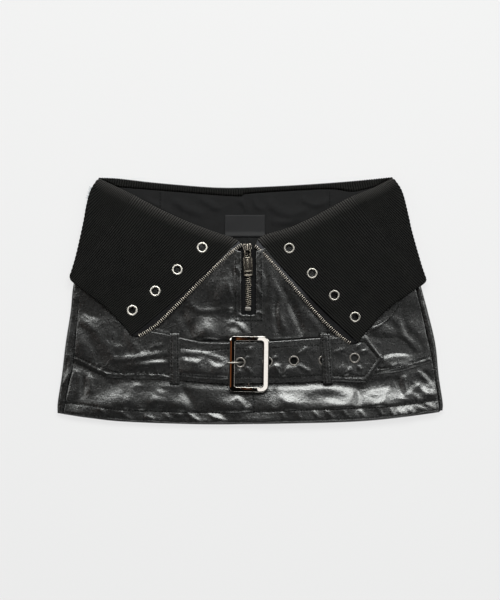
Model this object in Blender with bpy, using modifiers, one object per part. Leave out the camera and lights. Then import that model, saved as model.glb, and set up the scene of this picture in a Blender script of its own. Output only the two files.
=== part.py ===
"""A black coated-leather skort with a ribbed fold-over collar, laid flat with its front up.

The part lies on Z = 0. X runs across the front, to the wearer's left as it lies, Y runs from the hem up to
the waist, and Z is up out of the cloth. The tables are in millimetres. Each cloth piece is a wall between two
grids of points, one for its underside and one for its outer side, and the walls are stacked with a small gap.
"""

import itertools
import math

import bmesh
import bpy
import numpy as np
from mathutils import Matrix, Vector

MM = 0.001

# Driving sizes, in mm
GAP = 0.3  # between two pieces that touch
LEATHER = 1.2  # one layer of coated leather
KNIT = 2.1  # the ribbed collar without its ribs
RIB_HEIGHT = 0.3
PLAIN_STEP = 4  # columns of ribs to one of the plain underside
BACK_RIBS = 120
RIB_BOW = 0.017  # how far a collar's ribs bow towards the zip, to their length
LAST_RIB = 0.98  # share of the fold and of the side edge where the last rib lies
STRAP = 2.2  # the belt, two layers of leather
TAB = 1.4  # the side tabs and the under strap
LOOP_WIDTH = 11.8
LOOP = 1.5
TAPE = 1.0
EYELET_OUTER = 6.6  # radii of an eyelet
EYELET_HOLE = 4.1
EYELET_WALL = 0.6
EYELET_HEIGHT = 0.8
BAR = 1.2  # radius of the buckle's centre bar and prong

# Heights above the ground, in mm, before the back's turned-down collar lifts the upper half
BACK_LIFT = 2.7
LIFT_FROM, LIFT_TO = -16.0, 24.0  # Y over which the layers climb onto the turned-down collar
SHORTS = 1.0  # the jersey of the inner shorts
SHORTS_Z = 1.6
FACING_Z = 1.5
TAPE_Z = 2.9
FRONT_Z = 4.4
TAB_Z = FRONT_Z + LEATHER + GAP
BELT_Z = TAB_Z + TAB + GAP
BUCKLE_BELT_Z = 8.8  # the belt's underside where it rides over the buckle's centre bar
COLLAR_Z = 8.9
COLLAR_OVER_TAB = 8.0
OVER_BELT = 2.3  # how much more the belt lifts the right collar's tip
FOLD_Z = 7.0  # underside of the collar where it turns over
SIDE_Z = 5.0

# Outlines, in mm: X, Y
HEM = [(-235, -136.8), (-195.5, -142.5), (-148.7, -147.2), (-58.6, -150.2), (0, -149.8), (58.3, -148.8),
       (107, -147.5), (149, -145.2), (193.4, -140.3), (234.9, -133.4)]
SKIRT_LEFT = [(-235, -136.8), (-234.7, -123), (-229.8, -91.3), (-225.2, -52.4), (-219.1, -13.4),
              (-215.1, 20.7), (-205, 54.8), (-196.4, 93.8), (-184, 132)]
SKIRT_RIGHT = [(234.9, -133.4), (235, -123), (230.2, -91.3), (226.1, -52.4), (216.9, -13.4), (207.5, 20.7),
               (196.3, 64.6), (185.5, 103.5), (172, 134)]
SEAM_LEFT = [(-226.8, -137.8), (-221.2, -104), (-215, -75.9), (-209.9, -19.5), (-204.3, 13.2),
             (-198.7, 43.8), (-189, 90), (-176, 131)]
SEAM_RIGHT = [(230.1, -135.2), (227, -106), (220.2, -63.7), (207.4, -8.9), (193.5, 43.8), (179, 90),
              (163, 133)]
CENTRE_FRONT = [(4.1, -149.8), (2.9, -110.8), (0.5, -24.4), (-1.8, 57)]
HEM_LEFT = [SEAM_LEFT[0]] + HEM[1:4] + [CENTRE_FRONT[0]]
HEM_RIGHT = [CENTRE_FRONT[0]] + HEM[5:9] + [SEAM_RIGHT[0]]
FRONT_TOP_LEFT = [(-176, 131), (-148, 122), (-107, 101.5), (-73, 86), (-39, 70), (-1.8, 57)]
FRONT_TOP_RIGHT = [(163, 133), (122.5, 117.5), (95, 103), (71.3, 90.5), (47.3, 76), (-1.8, 57)]
BACK_TOP = [(-184, 132), (-157.7, 135), (-106.1, 131.5), (-17.5, 125), (0, 128), (92.4, 133.4),
            (124.1, 130.4), (150, 135), (172, 134)]
COLLAR_OUTLINE = {  # each side's fold from the zip outwards, its side edge, free edge and zip edge downwards
    "left": {
        "fold": [(-9.6, 70.6), (-21.6, 77.6), (-38.6, 82.7), (-72.8, 95.5), (-106.9, 110.8), (-148, 132.3),
                 (-184.8, 149.6)],
        "side": [(-219.8, 28.9), (-212.1, 54.8), (-203.4, 93.8), (-199.5, 115.7), (-194.5, 134),
                 (-184.8, 149.6)],
        "free": [(-137, -45.2), (-142.3, -44.9), (-154.8, -29.7), (-178.9, -5.6), (-214, 21.5),
                 (-219.8, 28.9)],
        "zip": [(-7.9, 67.2), (-14.7, 63.8), (-38.6, 43.4), (-92, -9.7), (-115.8, -32.2), (-135.9, -44.2)],
        "first_rib": (5.5, 9.5),  # how far along the fold and the free edge the ribs begin
        "corner": 0.76,  # the share of the ribs that end on the free edge
        "ribs": 62,
    },
    "right": {
        "fold": [(8, 74.1), (16.6, 80.1), (47.3, 89.5), (71.3, 99.8), (95.1, 112.5), (122.5, 127),
                 (146.4, 136.4), (173.8, 150.4)],
        "side": [(214.7, 25.6), (208.2, 45.1), (197.2, 84), (192.9, 103.5), (185.3, 132.8), (173.8, 150.4)],
        "free": [(123.5, -53.6), (130.7, -52.3), (141, -37.4), (169.7, -8), (208.9, 19.2), (214.7, 25.6)],
        "zip": [(4.6, 66.4), (18.3, 53.6), (49, 19.4), (81.5, -18.1), (104, -40.2), (122, -53.1)],
        "first_rib": (1.5, 9.5),
        "corner": 0.71,
        "ribs": 60,
    },
}
BACK_COLLAR_TOP = [(-184.6, 149.6), (-160.9, 148.7), (-117, 143.7), (-58.6, 138.7), (-29.4, 137.5),
                   (0, 138), (58.3, 140.8), (116.8, 144.9), (173.6, 150.3)]
BACK_COLLAR_FOOT = [(-219.6, 28.9), (-150, 26.5), (0, 25.5), (150, 26), (214.5, 25.6)]
FACING_TOP = [(-165, 140), (-157.7, 138.2), (-106.1, 134), (-17.5, 127.3), (0, 130.7), (92.4, 135.9),
              (124.1, 132.8), (150, 138.2)]
FACING_FOOT = [(-165, 118), (-107, 95), (-73, 80), (-39, 67), (-9.6, 56), (8, 58), (47.3, 73), (95, 96),
               (150, 122)]
LABEL = (-30.9, 78.2, 18.1, 104.9)
LABEL_THICK = 1.0

# Each line of a side tab runs between the same two sides: X, Y
TAB_LEFT_TOP = [(-207, 20), (-178, -1.5), (-160, -17), (-146, -32), (-115.8, -37.8), (-92.6, -42.6)]
TAB_LEFT_FOOT = [(-214.7, -73.6), (-198.7, -81.5), (-180.6, -90.2), (-164.8, -93.9), (-101.1, -95.2),
                 (-92.6, -95.6)]
TAB_RIGHT_TOP = [(91.5, -42.6), (115, -41.5), (141, -37.6), (145.3, -32.4), (162.7, -24.7), (176.7, -10.8),
                 (187, 8), (201, 16)]
TAB_RIGHT_FOOT = [(91.5, -94.5), (115, -93), (148.7, -89.9), (176.5, -87), (199.8, -81.1), (220.4, -74.7)]
UNDER_STRAP_TOP = [(0.9, -46.6), (24.2, -46.4), (47.4, -45.3), (91, -42.6)]
UNDER_STRAP_FOOT = [(0.9, -97.5), (91, -94.5)]
BELT_TOP = [(-92.1, -42.9), (-67.2, -48.4), (-56.6, -50), (-24.5, -50.4), (24.2, -48.9), (83.9, -44.9),
            (121.7, -43.4), (141.9, -41.9), (163.1, -69.2)]
BELT_FOOT = [(-92.1, -95.7), (-62.6, -98.3), (-26.7, -100.4), (14.7, -99.5), (59.2, -98.9), (87.2, -97.2),
             (136.3, -98.9), (142.5, -98), (163.1, -70.8)]
BELT_RISE = [(-93, TAB_Z), (-60, TAB_Z + 0.4), (-28, BUCKLE_BELT_Z), (4, BUCKLE_BELT_Z),
             (13, BELT_Z + 0.2), (60, BELT_Z), (170, BELT_Z)]

# Fittings
BELT_EYELETS = [(-11.9, -74.7), (21.3, -74.1), (53.1, -72.7), (89.4, -72.2), (127, -69.3)]
COLLAR_EYELETS = {
    "left": [(-58.3, 65), (-88.5, 38.2), (-115.3, 12.1), (-143.2, -11.3)],
    "right": [(47.5, 64.2), (75.3, 33.6), (102.2, 6.9), (127.4, -19.4)],
}
LOOPS = {  # X at the top and at the foot, and the top of what lies under it
    "left": (-91.8, -92.0, TAB_Z + STRAP),
    "right": (90.7, 94.8, BELT_Z + STRAP + GAP + EYELET_HEIGHT),
}
LOOP_TOP, LOOP_FOOT = -36.4, -102.2
BUCKLE_CENTRE = (-1.3, -76.5)
BUCKLE_SIZE = (48.4, 68.2)
BUCKLE_BAR = (6.6, 5.8)  # width of the upright bars, and of the two across
BUCKLE_THICK = 3.0
BUCKLE_LEAN = math.radians(-0.8)
WINDOW = (-10.8, -16.6, 7.3, 80)  # the zip's window in the fronts
ZIP_X = -2.0
SLIDER_X = -3.4
SLIDER_Y = 65.4
SLIDER_THICK = 3.2
TAB_AXIS_Y = 62.4
TAB_LENGTH = 32.6
TAB_WIDTH = 10.9
PULL = 1.3  # thickness of the pull tab
TAB_DIP = 2.6  # degrees that the pull tab hangs down from level
TAB_LEAN = 2.4  # degrees that it leans to the side
STOP = (-6.2, -12.2, 1.1, -7.1)

# The largest folds of the leather: a long swelling each, at X, Y, turned by the angle, its half length and
# half width, and its height
FRONT_FOLDS = [
    # x, y, angle, length, width, height
    (-213, -116, 68, 16, 9, 2.2),
    (-188, -119, 75, 15, 9, 1.8),
    (-150, -126, -50, 16, 9, 1.8),
    (-108, -124, -60, 18, 10, 2.2),
    (-64, -127, -65, 16, 11, 1.8),
    (-20, -122, 85, 16, 10, 1.4),
    (48, -122, 10, 26, 9, 2.0),
    (104, -124, -8, 28, 9, 2.4),
    (163, -118, 12, 24, 10, 2.4),
    (205, -112, 55, 18, 10, 2.6),
    (-60, -16, 60, 15, 9, 2.0),
    (-32, 4, 80, 20, 8, 1.6),
    (28, 6, 80, 18, 8, 1.8),
    (54, -22, 70, 14, 9, 2.2),
]
TAB_LEFT_FOLDS = [
    (-194, -44, -55, 26, 8, 2.4),
    (-172, -62, -50, 24, 8, 1.6),
    (-130, -66, 70, 22, 12, 1.6),
]
TAB_RIGHT_FOLDS = [
    (197, -24, -48, 20, 8, 2.6),
    (190, -58, 10, 22, 9, 1.8),
]

# Rows of the grids of the back and the fronts, as shares of the way from the hem to the top
PANEL_ROWS = [*np.linspace(0, 0.62, 12), 0.72, 0.79, 0.86, 1.0]

LOOKS = {  # colour, roughness, metallic
    "coated_leather": ((0.018, 0.018, 0.020), 0.42, 0.0),
    "rib_knit": ((0.010, 0.010, 0.011), 0.95, 0.0),
    "facing_cloth": ((0.014, 0.014, 0.016), 0.80, 0.0),
    "lining_jersey": ((0.012, 0.012, 0.013), 0.90, 0.0),
    "zip_tape": ((0.030, 0.030, 0.031), 0.85, 0.0),
    "label_satin": ((0.022, 0.022, 0.026), 0.50, 0.0),
    "nickel": ((0.62, 0.60, 0.57), 0.18, 1.0),
    "aged_nickel": ((0.38, 0.36, 0.33), 0.30, 1.0),
    "dark_steel": ((0.16, 0.155, 0.15), 0.16, 1.0),
}


def ease(t):
    """0 below 0, 1 above 1, and a smooth step between."""
    t = min(max(t, 0.0), 1.0)
    return t * t * (3 - 2 * t)


def lift(y):
    """How high the turned-down back collar lifts what lies at this Y."""
    return BACK_LIFT * ease((y - LIFT_FROM) / (LIFT_TO - LIFT_FROM))


def climb_rows():
    """Where the rows of the fronts cross the centre as they climb, for the layers below to bend with them."""
    centre = path(CENTRE_FRONT)
    return [float(centre(share)[1]) for share in PANEL_ROWS[-5:-1]]


def belt_lift(side, y):
    """How high the belt lifts a turned-down collar at this Y. Only the right one reaches it."""
    return OVER_BELT * ease((-18 - y) / 20) if side == "right" else 0.0


def swell(folds, x, y):
    """The height that the folds in a table add at a point."""
    total = 0.0
    for fold_x, fold_y, angle, length, width, height in folds:
        turn = math.radians(angle)
        along = (x - fold_x) * math.cos(turn) + (y - fold_y) * math.sin(turn)
        across = (y - fold_y) * math.cos(turn) - (x - fold_x) * math.sin(turn)
        total += height * math.exp(-((along / length) ** 2) - (across / width) ** 2)
    return total


def path(points):
    """A smooth line through the points, as a function of 0 to 1 that runs evenly along its length."""
    knots = np.array(points, float)
    knots = np.vstack([2 * knots[0] - knots[1], knots, 2 * knots[-1] - knots[-2]])
    line = [knots[1]]
    for a, b, c, d in zip(knots, knots[1:], knots[2:], knots[3:]):
        for t in np.linspace(0, 1, 9)[1:]:
            slope = (c - a) * t + (2 * a - 5 * b + 4 * c - d) * t**2 + (3 * b - a - 3 * c + d) * t**3
            line.append(b + slope / 2)
    line = np.array(line)
    reach = np.concatenate([[0], np.cumsum(np.linalg.norm(np.diff(line, axis=0), axis=1))])
    reach /= reach[-1]
    return lambda t: np.array([np.interp(t, reach, line[:, 0]), np.interp(t, reach, line[:, 1])])


def length_of(line):
    points = np.array([line(t) for t in np.linspace(0, 1, 41)])
    return float(np.linalg.norm(np.diff(points, axis=0), axis=1).sum())


def level_with(line, x):
    """The Y of a line that runs across, where it passes x."""
    points = np.array([line(t) for t in np.linspace(0, 1, 121)])
    return float(np.interp(x, points[:, 0], points[:, 1]))


def highest(lines, x, y, reach):
    """The highest point within reach of x, y, read along the lines of a grid."""
    top = -math.inf
    shares = np.linspace(0, 1, 41)[:, None]
    for line in lines:
        for a, b in zip(line, line[1:]):
            points = np.array(a) * (1 - shares) + np.array(b) * shares
            near = np.hypot(points[:, 0] - x, points[:, 1] - y) < reach
            if near.any():
                top = max(top, points[near, 2].max())
    return float(top)


def patch(foot, top, left, right):
    """The point at (u, v) inside four lines that meet at their corners, u across and v upwards."""
    foot, top, left, right = (path(side) for side in (foot, top, left, right))

    def at(u, v):
        across = (1 - v) * foot(u) + v * top(u)
        upward = (1 - u) * left(v) + u * right(v)
        corners = (1 - v) * ((1 - u) * foot(0) + u * foot(1)) + v * ((1 - u) * top(0) + u * top(1))
        return across + upward - corners

    return at


def material(look):
    found = bpy.data.materials.get(look)
    if found:
        return found
    colour, roughness, metallic = LOOKS[look]
    made = bpy.data.materials.new(look)
    made.use_nodes = True
    shader = made.node_tree.nodes["Principled BSDF"]
    shader.inputs["Base Color"].default_value = (*colour, 1)
    shader.inputs["Roughness"].default_value = roughness
    shader.inputs["Metallic"].default_value = metallic
    made.diffuse_color = (*colour, 1)
    return made


def collection(name):
    found = bpy.data.collections.get(name)
    if not found:
        found = bpy.data.collections.new(name)
        bpy.context.scene.collection.children.link(found)
    return found


def keep(name, data, look):
    """Puts a mesh or curve in the garment's collection as the piece of that name."""
    piece = bpy.data.objects.new(name, data)
    data.materials.clear()
    data.materials.append(material(look))
    collection("leather_skort").objects.link(piece)
    return piece


def closed_shape(under, over):
    """A closed bmesh between two grids of points, whose numbers of columns may differ."""
    shape = bmesh.new()
    rims = []
    for points in (under, over):
        made = bmesh.ops.create_grid(shape, x_segments=len(points[0]) - 1, y_segments=len(points) - 1, size=1)
        for vertex, point in zip(made["verts"], itertools.chain(*points)):
            vertex.co = point
        edges = {edge for vertex in made["verts"] for edge in vertex.link_edges}
        rims += [edge for edge in edges if edge.is_boundary]
    bmesh.ops.bridge_loops(shape, edges=rims)
    bmesh.ops.recalc_face_normals(shape, faces=shape.faces)
    if shape.calc_volume(signed=True) < 0:
        bmesh.ops.reverse_faces(shape, faces=shape.faces)
    return shape


def wall(name, under, over, look):
    """A closed cloth wall between the grids of points, in mm, of its underside and its outer side."""
    shape = closed_shape(under, over)
    bmesh.ops.scale(shape, vec=(MM, MM, MM), verts=shape.verts)
    mesh = bpy.data.meshes.new(name)
    shape.to_mesh(mesh)
    shape.free()
    return keep(name, mesh, look)


def sheet(name, at, us, vs, height, thickness, look):
    """A wall of even thickness over a patch, with its underside at height(x, y)."""
    under = []
    for v in vs:
        row = [at(u, v) for u in us]
        under.append([(x, y, height(x, y)) for x, y in row])
    over = [[(x, y, z + thickness) for x, y, z in row] for row in under]
    return wall(name, under, over, look)


def cutter(name, shape):
    """Makes a hidden cutting tool of a bmesh in mm."""
    bmesh.ops.scale(shape, vec=(MM, MM, MM), verts=shape.verts)
    mesh = bpy.data.meshes.new(name)
    shape.to_mesh(mesh)
    shape.free()
    tool = bpy.data.objects.new(name, mesh)
    tool.hide_render = True
    tool.display_type = "WIRE"
    collection("cutters").objects.link(tool)
    return tool


def cut(piece, tool, operation="DIFFERENCE"):
    modifier = piece.modifiers.new(tool.name, "BOOLEAN")
    modifier.operation = operation
    modifier.solver = "EXACT"
    modifier.object = tool


def box_shape(x0, y0, z0, x1, y1, z1):
    shape = bmesh.new()
    size = Matrix.Diagonal((x1 - x0, y1 - y0, z1 - z0, 1))
    centre = Matrix.Translation(((x0 + x1) / 2, (y0 + y1) / 2, (z0 + z1) / 2))
    bmesh.ops.create_cube(shape, size=1, matrix=centre @ size)
    return shape


def box(name, bounds, look):
    """A plain block in mm, from x0, y0, z0 to x1, y1, z1."""
    shape = box_shape(*bounds)
    bmesh.ops.scale(shape, vec=(MM, MM, MM), verts=shape.verts)
    mesh = bpy.data.meshes.new(name)
    shape.to_mesh(mesh)
    shape.free()
    return keep(name, mesh, look)


def hole_cutter(name, centres, radius, low, high):
    shape = bmesh.new()
    for x, y in centres:
        middle = Matrix.Translation((x, y, (low + high) / 2))
        bmesh.ops.create_cone(shape, cap_ends=True, segments=12, radius1=radius, radius2=radius,
                              depth=high - low, matrix=middle)
    return cutter(name, shape)


def eyelet(name, x, y, top):
    """A turned metal ring whose flange lies on the cloth, with its barrel down in the hole."""
    barrel = EYELET_HOLE + EYELET_WALL
    crown = (EYELET_HOLE + EYELET_OUTER) / 2
    profile = [(EYELET_OUTER, 0), (barrel, 0), (barrel, -1.7), (EYELET_HOLE, -1.7), (EYELET_HOLE, 0.5),
               (crown, EYELET_HEIGHT)]
    mesh = bpy.data.meshes.new(name)
    corners = [(radius * MM, 0, z * MM) for radius, z in profile]
    edges = [(i, (i + 1) % len(corners)) for i in range(len(corners))]
    mesh.from_pydata(corners, edges, [])
    piece = keep(name, mesh, "nickel")
    piece.location = Vector((x, y, top + GAP)) * MM
    screw = piece.modifiers.new("turn", "SCREW")
    screw.axis = "Z"
    screw.steps = screw.render_steps = 12
    screw.use_merge_vertices = True
    screw.merge_threshold = 0.00001
    return piece


def back_panel():
    """The back, lying on the ground, with both sides turned up and over to the side seams on the front."""
    inner = patch(HEM, BACK_TOP, SKIRT_LEFT, SKIRT_RIGHT)
    seams = {"left": path(SEAM_LEFT), "right": path(SEAM_RIGHT)}
    half = (FRONT_Z + LEATHER) / 2

    def ring(v, inset):
        """The section at v, from the left seam round under the back to the right seam, moved in by inset."""
        left_edge, right_edge = inner(0, v), inner(1, v)
        turn = half - inset

        def side(edge, inward, seam):
            base = lift(edge[1]) + half
            points = [(seam[0] - inward * GAP, seam[1], base + turn)]
            for angle in (90, 130, 180, 230):
                turned = math.radians(angle)
                reach = half + turn * math.cos(turned)
                points.append((edge[0] + inward * reach, edge[1], base + turn * math.sin(turned)))
            return points

        left = side(left_edge, 1, seams["left"](v))
        right = side(right_edge, -1, seams["right"](v))
        floor = []
        for u in np.linspace(0.015, 0.985, 9):
            x, y = inner(u, v)
            floor.append((x, y, lift(y) + inset))
        return left + floor + right[::-1]

    under = [ring(v, 0) for v in PANEL_ROWS]
    over = [ring(v, LEATHER) for v in PANEL_ROWS]
    return wall("back_panel", under, over, "coated_leather")


def front(side, window):
    """One half of the front, from the side seam to the centre front seam, with half of the zip's window."""
    seam_gap = 0.0015
    columns = np.linspace(seam_gap, 1 - seam_gap, 16)
    if side == "left":
        at = patch(HEM_LEFT, FRONT_TOP_LEFT, SEAM_LEFT, CENTRE_FRONT)
    else:
        at = patch(HEM_RIGHT, FRONT_TOP_RIGHT[::-1], CENTRE_FRONT, SEAM_RIGHT)

    def height(x, y):
        below_belt = ease((-99 - y) / 12)
        above_belt = ease((y + 36) / 10)
        return FRONT_Z + lift(y) + swell(FRONT_FOLDS, x, y) * max(below_belt, above_belt)

    piece = sheet(f"front_{side}", at, columns, PANEL_ROWS, height, LEATHER, "coated_leather")
    cut(piece, window)


def side_tabs():
    """The two wide tabs that run in from the side seams and narrow to the belt."""
    left = patch(TAB_LEFT_FOOT, TAB_LEFT_TOP, [TAB_LEFT_FOOT[0], (-210.5, -25), TAB_LEFT_TOP[0]],
                 [TAB_LEFT_FOOT[-1], TAB_LEFT_TOP[-1]])
    sheet("flap_left", left, np.linspace(0, 1, 13), np.linspace(0, 1, 8),
          lambda x, y: TAB_Z + lift(y) + swell(TAB_LEFT_FOLDS, x, y), TAB, "coated_leather")
    right = patch(TAB_RIGHT_FOOT, TAB_RIGHT_TOP, [TAB_RIGHT_FOOT[0], TAB_RIGHT_TOP[0]],
                  [TAB_RIGHT_FOOT[-1], (212.5, -30), TAB_RIGHT_TOP[-1]])
    sheet("flap_right", right, np.linspace(0, 1, 13), np.linspace(0, 1, 8),
          lambda x, y: TAB_Z + lift(y) + swell(TAB_RIGHT_FOLDS, x, y), TAB, "coated_leather")


def belt():
    """The under strap from the buckle, the belt strap with its pointed tip, its eyelets and the two loops."""
    under = patch(UNDER_STRAP_FOOT, UNDER_STRAP_TOP, [UNDER_STRAP_FOOT[0], UNDER_STRAP_TOP[0]],
                  [UNDER_STRAP_FOOT[-1], UNDER_STRAP_TOP[-1]])
    sheet("under_strap", under, np.linspace(0, 1, 6), (0, 1), lambda x, y: TAB_Z, TAB, "coated_leather")
    strap = patch(BELT_FOOT, BELT_TOP, [BELT_FOOT[0], BELT_TOP[0]], [BELT_FOOT[-1], BELT_TOP[-1]])
    rise = np.array(BELT_RISE)
    holes = hole_cutter("belt_holes", BELT_EYELETS, EYELET_HOLE + EYELET_WALL + GAP, BELT_Z - 3,
                        BUCKLE_BELT_Z + 6)
    piece = sheet("belt_strap", strap, np.linspace(0, 1, 27), np.linspace(0, 1, 4),
                  lambda x, y: float(np.interp(x, rise[:, 0], rise[:, 1])), STRAP, "coated_leather")
    cut(piece, holes)
    for number, (x, y) in enumerate(BELT_EYELETS, 1):
        edges = [x - EYELET_OUTER, x, x + EYELET_OUTER]
        top = max(np.interp(edges, rise[:, 0], rise[:, 1])) + STRAP
        eyelet(f"belt_eyelet_{number}", x, y, top)
    for side, (top_x, foot_x, covered) in LOOPS.items():
        belt_loop(side, top_x, foot_x, covered + GAP)


def belt_loop(side, top_x, foot_x, height):
    """A strip over the belt whose ends come down to the cloth above and below it."""
    foot = FRONT_Z + LEATHER + GAP
    section = [  # share of the way down, height of the underside
        (0.0, foot), (0.03, foot + 0.4), (0.06, height - 0.6), (0.09, height), (0.94, height),
        (0.965, height - 0.6), (0.985, foot + 0.4), (1.0, foot),
    ]
    under, over = [], []
    for share, z in section:
        middle = top_x + (foot_x - top_x) * share
        y = LOOP_TOP + (LOOP_FOOT - LOOP_TOP) * share
        under.append([(middle + LOOP_WIDTH * (k - 1) / 2, y, z) for k in range(3)])
        over.append([(px, py, pz + LOOP + 0.25 * (k == 1)) for k, (px, py, pz) in enumerate(under[-1])])
    wall(f"belt_loop_{side}", under, over, "coated_leather")


def collar_lines(side):
    """The line of a rib on a turned-down collar, from its place s on the fold to its end at t = 1."""
    outline = COLLAR_OUTLINE[side]
    fold, free, edge = path(outline["fold"]), path(outline["free"]), path(outline["side"])
    start = outline["first_rib"][0] / length_of(fold)
    finish = outline["first_rib"][1] / length_of(free)
    corner = outline["corner"]
    bow = RIB_BOW if side == "left" else -RIB_BOW

    def at(s, t):
        begin = fold(start + (LAST_RIB - start) * s)
        if s <= corner:
            end = free(finish + (1 - finish) * s / corner)
        else:
            end = edge((s - corner) / (1 - corner) * LAST_RIB)
        run = end - begin
        aside = np.array([-run[1], run[0]])
        return begin + run * t + aside * bow * 4 * t * (1 - t)

    return at


def collar_levels(side, s, points):
    """Heights of the collar's underside at the four lines across its ribs, from the fold to the free edge."""
    corner = COLLAR_OUTLINE[side]["corner"]
    rolled = ease((s - corner + 0.05) / 0.08)
    levels = [FOLD_Z, COLLAR_Z]
    for x, y in points[2:]:
        levels.append(COLLAR_OVER_TAB + lift(y) + belt_lift(side, y))
    levels[2] += (COLLAR_Z - levels[2]) * rolled
    levels[3] += (SIDE_Z - levels[3]) * rolled
    return levels


def collar_steps(length):
    """Where the four lines across the ribs lie: a tight turn at the fold and one at the far end."""
    turn = min(6, 0.25 * length) / length
    end = min(7, 0.3 * length) / length
    return (0, turn, 1 - end, 1)


def collar(side):
    """A turned-down front of the ribbed collar: ribs raised over a plain underside."""
    at = collar_lines(side)
    count = 2 * COLLAR_OUTLINE[side]["ribs"]
    under, over = [], []
    for column in range(count + 1):
        s = column / count
        length = float(np.linalg.norm(at(s, 1) - at(s, 0)))
        points = [at(s, t) for t in collar_steps(length)]
        levels = collar_levels(side, s, points)
        rib = RIB_HEIGHT * (column % 2)
        thickness = [KNIT - 0.4, KNIT, KNIT, KNIT - 0.5]
        under.append([(x, y, z) for (x, y), z in zip(points, levels)])
        over.append([(x, y, z + thick + rib) for (x, y), z, thick in zip(points, levels, thickness)])
    piece = wall(f"collar_{side}", under[::PLAIN_STEP], over, "rib_knit")
    holes = hole_cutter(f"collar_holes_{side}", COLLAR_EYELETS[side], EYELET_HOLE + EYELET_WALL + GAP, 0, 20)
    cut(piece, holes)
    for number, (x, y) in enumerate(COLLAR_EYELETS[side], 1):
        eyelet(f"collar_eyelet_{side}_{number}", x, y, highest(over, x, y, EYELET_OUTER + 1.5))


def zip_tapes():
    """The tape along each turned-down collar, and the closed one behind the window with its bottom stop."""
    for side in COLLAR_OUTLINE:
        teeth, ribs = path(COLLAR_OUTLINE[side]["zip"]), collar_lines(side)
        under = []
        for t in np.linspace(0, 1, 15):
            outer, inner = teeth(0.025 + 0.975 * t), ribs(0, t)
            across = (outer - inner) / np.linalg.norm(outer - inner)
            inner = inner + across * GAP
            level = COLLAR_Z + (COLLAR_OVER_TAB - COLLAR_Z) * ease((t - 0.5) / 0.45)
            level += belt_lift(side, outer[1])
            dip = (COLLAR_Z - FOLD_Z) * ease(1 - t / 0.06)
            places = (inner, (inner + outer) / 2, outer)
            under.append([(x, y, level - dip * share) for (x, y), share in zip(places, (1, 0.5, 0))])
        over = [[(x, y, z + TAPE) for x, y, z in row] for row in under]
        wall(f"zip_tape_{side}", under, over, "zip_tape")
    rows = climb_rows() + [CENTRE_FRONT[-1][1], TAB_AXIS_Y]
    under = [[(ZIP_X + dx, y, TAPE_Z + lift(y)) for dx in (-13, 0, 13)] for y in rows]
    over = [[(x, y, z + TAPE) for x, y, z in row] for row in under]
    wall("zip_tape_closed", under, over, "zip_tape")
    x0, y0, x1, y1 = STOP
    low = TAPE_Z + TAPE + lift(y1) + GAP
    box("zip_bottom_stop", (x0, y0, low, x1, y1, low + 1.8), "aged_nickel")


def back_collar():
    """The back of the ribbed collar, turned down under the back, with its rolled top in ribs."""
    top, foot = path(BACK_COLLAR_TOP), path(BACK_COLLAR_FOOT)
    sides = {"left": path(COLLAR_OUTLINE["left"]["side"]), "right": path(COLLAR_OUTLINE["right"]["side"])}
    crown = 6.1
    facing = path(FACING_TOP)
    count = 2 * BACK_RIBS
    folds = path(COLLAR_OUTLINE["left"]["fold"][::-1] + COLLAR_OUTLINE["right"]["fold"])
    under, over = [], []
    for column in range(count + 1):
        u = column / count
        upper, lower = top(u), foot(u)
        rib = RIB_HEIGHT * (column % 2)
        step = max(level_with(facing, upper[0]) + 1.5, level_with(folds, upper[0]) + 1.5)
        step = min(step, upper[1] - 1.2)
        roll = upper[1] - step
        edge = ease((abs(2 * u - 1) - 0.978) / 0.02)
        flat = 2.4 + 2.3 * edge
        slope = (upper[0] - lower[0]) / (upper[1] - lower[1])
        rows = [
            (lower[1], flat), (step - 0.3, flat), (step + 0.5, crown - 0.8 + rib),
            (step + 0.45 * roll, crown + rib), (step + 0.85 * roll, crown - 1.2 + rib), (upper[1], 2.0 + rib),
        ]
        over.append([(lower[0] + slope * (y - lower[1]), y, z) for y, z in rows])
        under.append([(x, y, 0.0) for x, y, z in (over[-1][0], over[-1][-1])])
    wall("collar_back", under[::PLAIN_STEP], over, "rib_knit")


def facing_and_label():
    """The smooth facing inside the back of the waist, with its label."""
    spread = patch(FACING_FOOT, FACING_TOP, [FACING_FOOT[0], FACING_TOP[0]],
                   [FACING_FOOT[-1], FACING_TOP[-1]])
    sheet("waist_facing", spread, np.linspace(0, 1, 21), (0, 0.5, 1), lambda x, y: BACK_LIFT + FACING_Z,
          LEATHER, "facing_cloth")
    x0, y0, x1, y1 = LABEL
    low = BACK_LIFT + FACING_Z + LEATHER + GAP
    box("waist_label", (x0, y0, low, x1, y1, low + LABEL_THICK), "label_satin")


def shorts():
    """The plain inner shorts, flat between back and front: a waist, two legs and the slot between them."""
    half_waist, half_hem, slot, waist_y, crotch_y, hem_y = 176, 196, 6, 48, -78, -120
    under = []
    for y in (hem_y, *climb_rows(), waist_y):
        share = (y - hem_y) / (waist_y - hem_y)
        reach = half_hem + (half_waist - half_hem) * share
        under.append([(reach * k / 3, y, SHORTS_Z + lift(y)) for k in range(-3, 4)])
    over = [[(x, y, z + SHORTS) for x, y, z in row] for row in under]
    piece = wall("inner_shorts", under, over, "lining_jersey")
    cut(piece, cutter("crotch", box_shape(-slot / 2, hem_y - 5, 0, slot / 2, crotch_y, 10)))


def rounded_outline(curve, width, height, radius, middle_y):
    """Adds a rectangle with round corners to a 2D curve, as a closed POLY spline."""
    points = []
    for corner in range(4):
        start = math.radians(90 * corner)
        cx = (width / 2 - radius) * (1 if corner in (0, 3) else -1)
        cy = middle_y + (height / 2 - radius) * (1 if corner in (0, 1) else -1)
        for step in range(3):
            angle = start + math.radians(45 * step)
            points.append((cx + radius * math.cos(angle), cy + radius * math.sin(angle)))
    spline = curve.splines.new("POLY")
    spline.points.add(len(points) - 1)
    for point, (x, y) in zip(spline.points, points):
        point.co = (x * MM, y * MM, 0, 1)
    spline.use_cyclic_u = True


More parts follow.
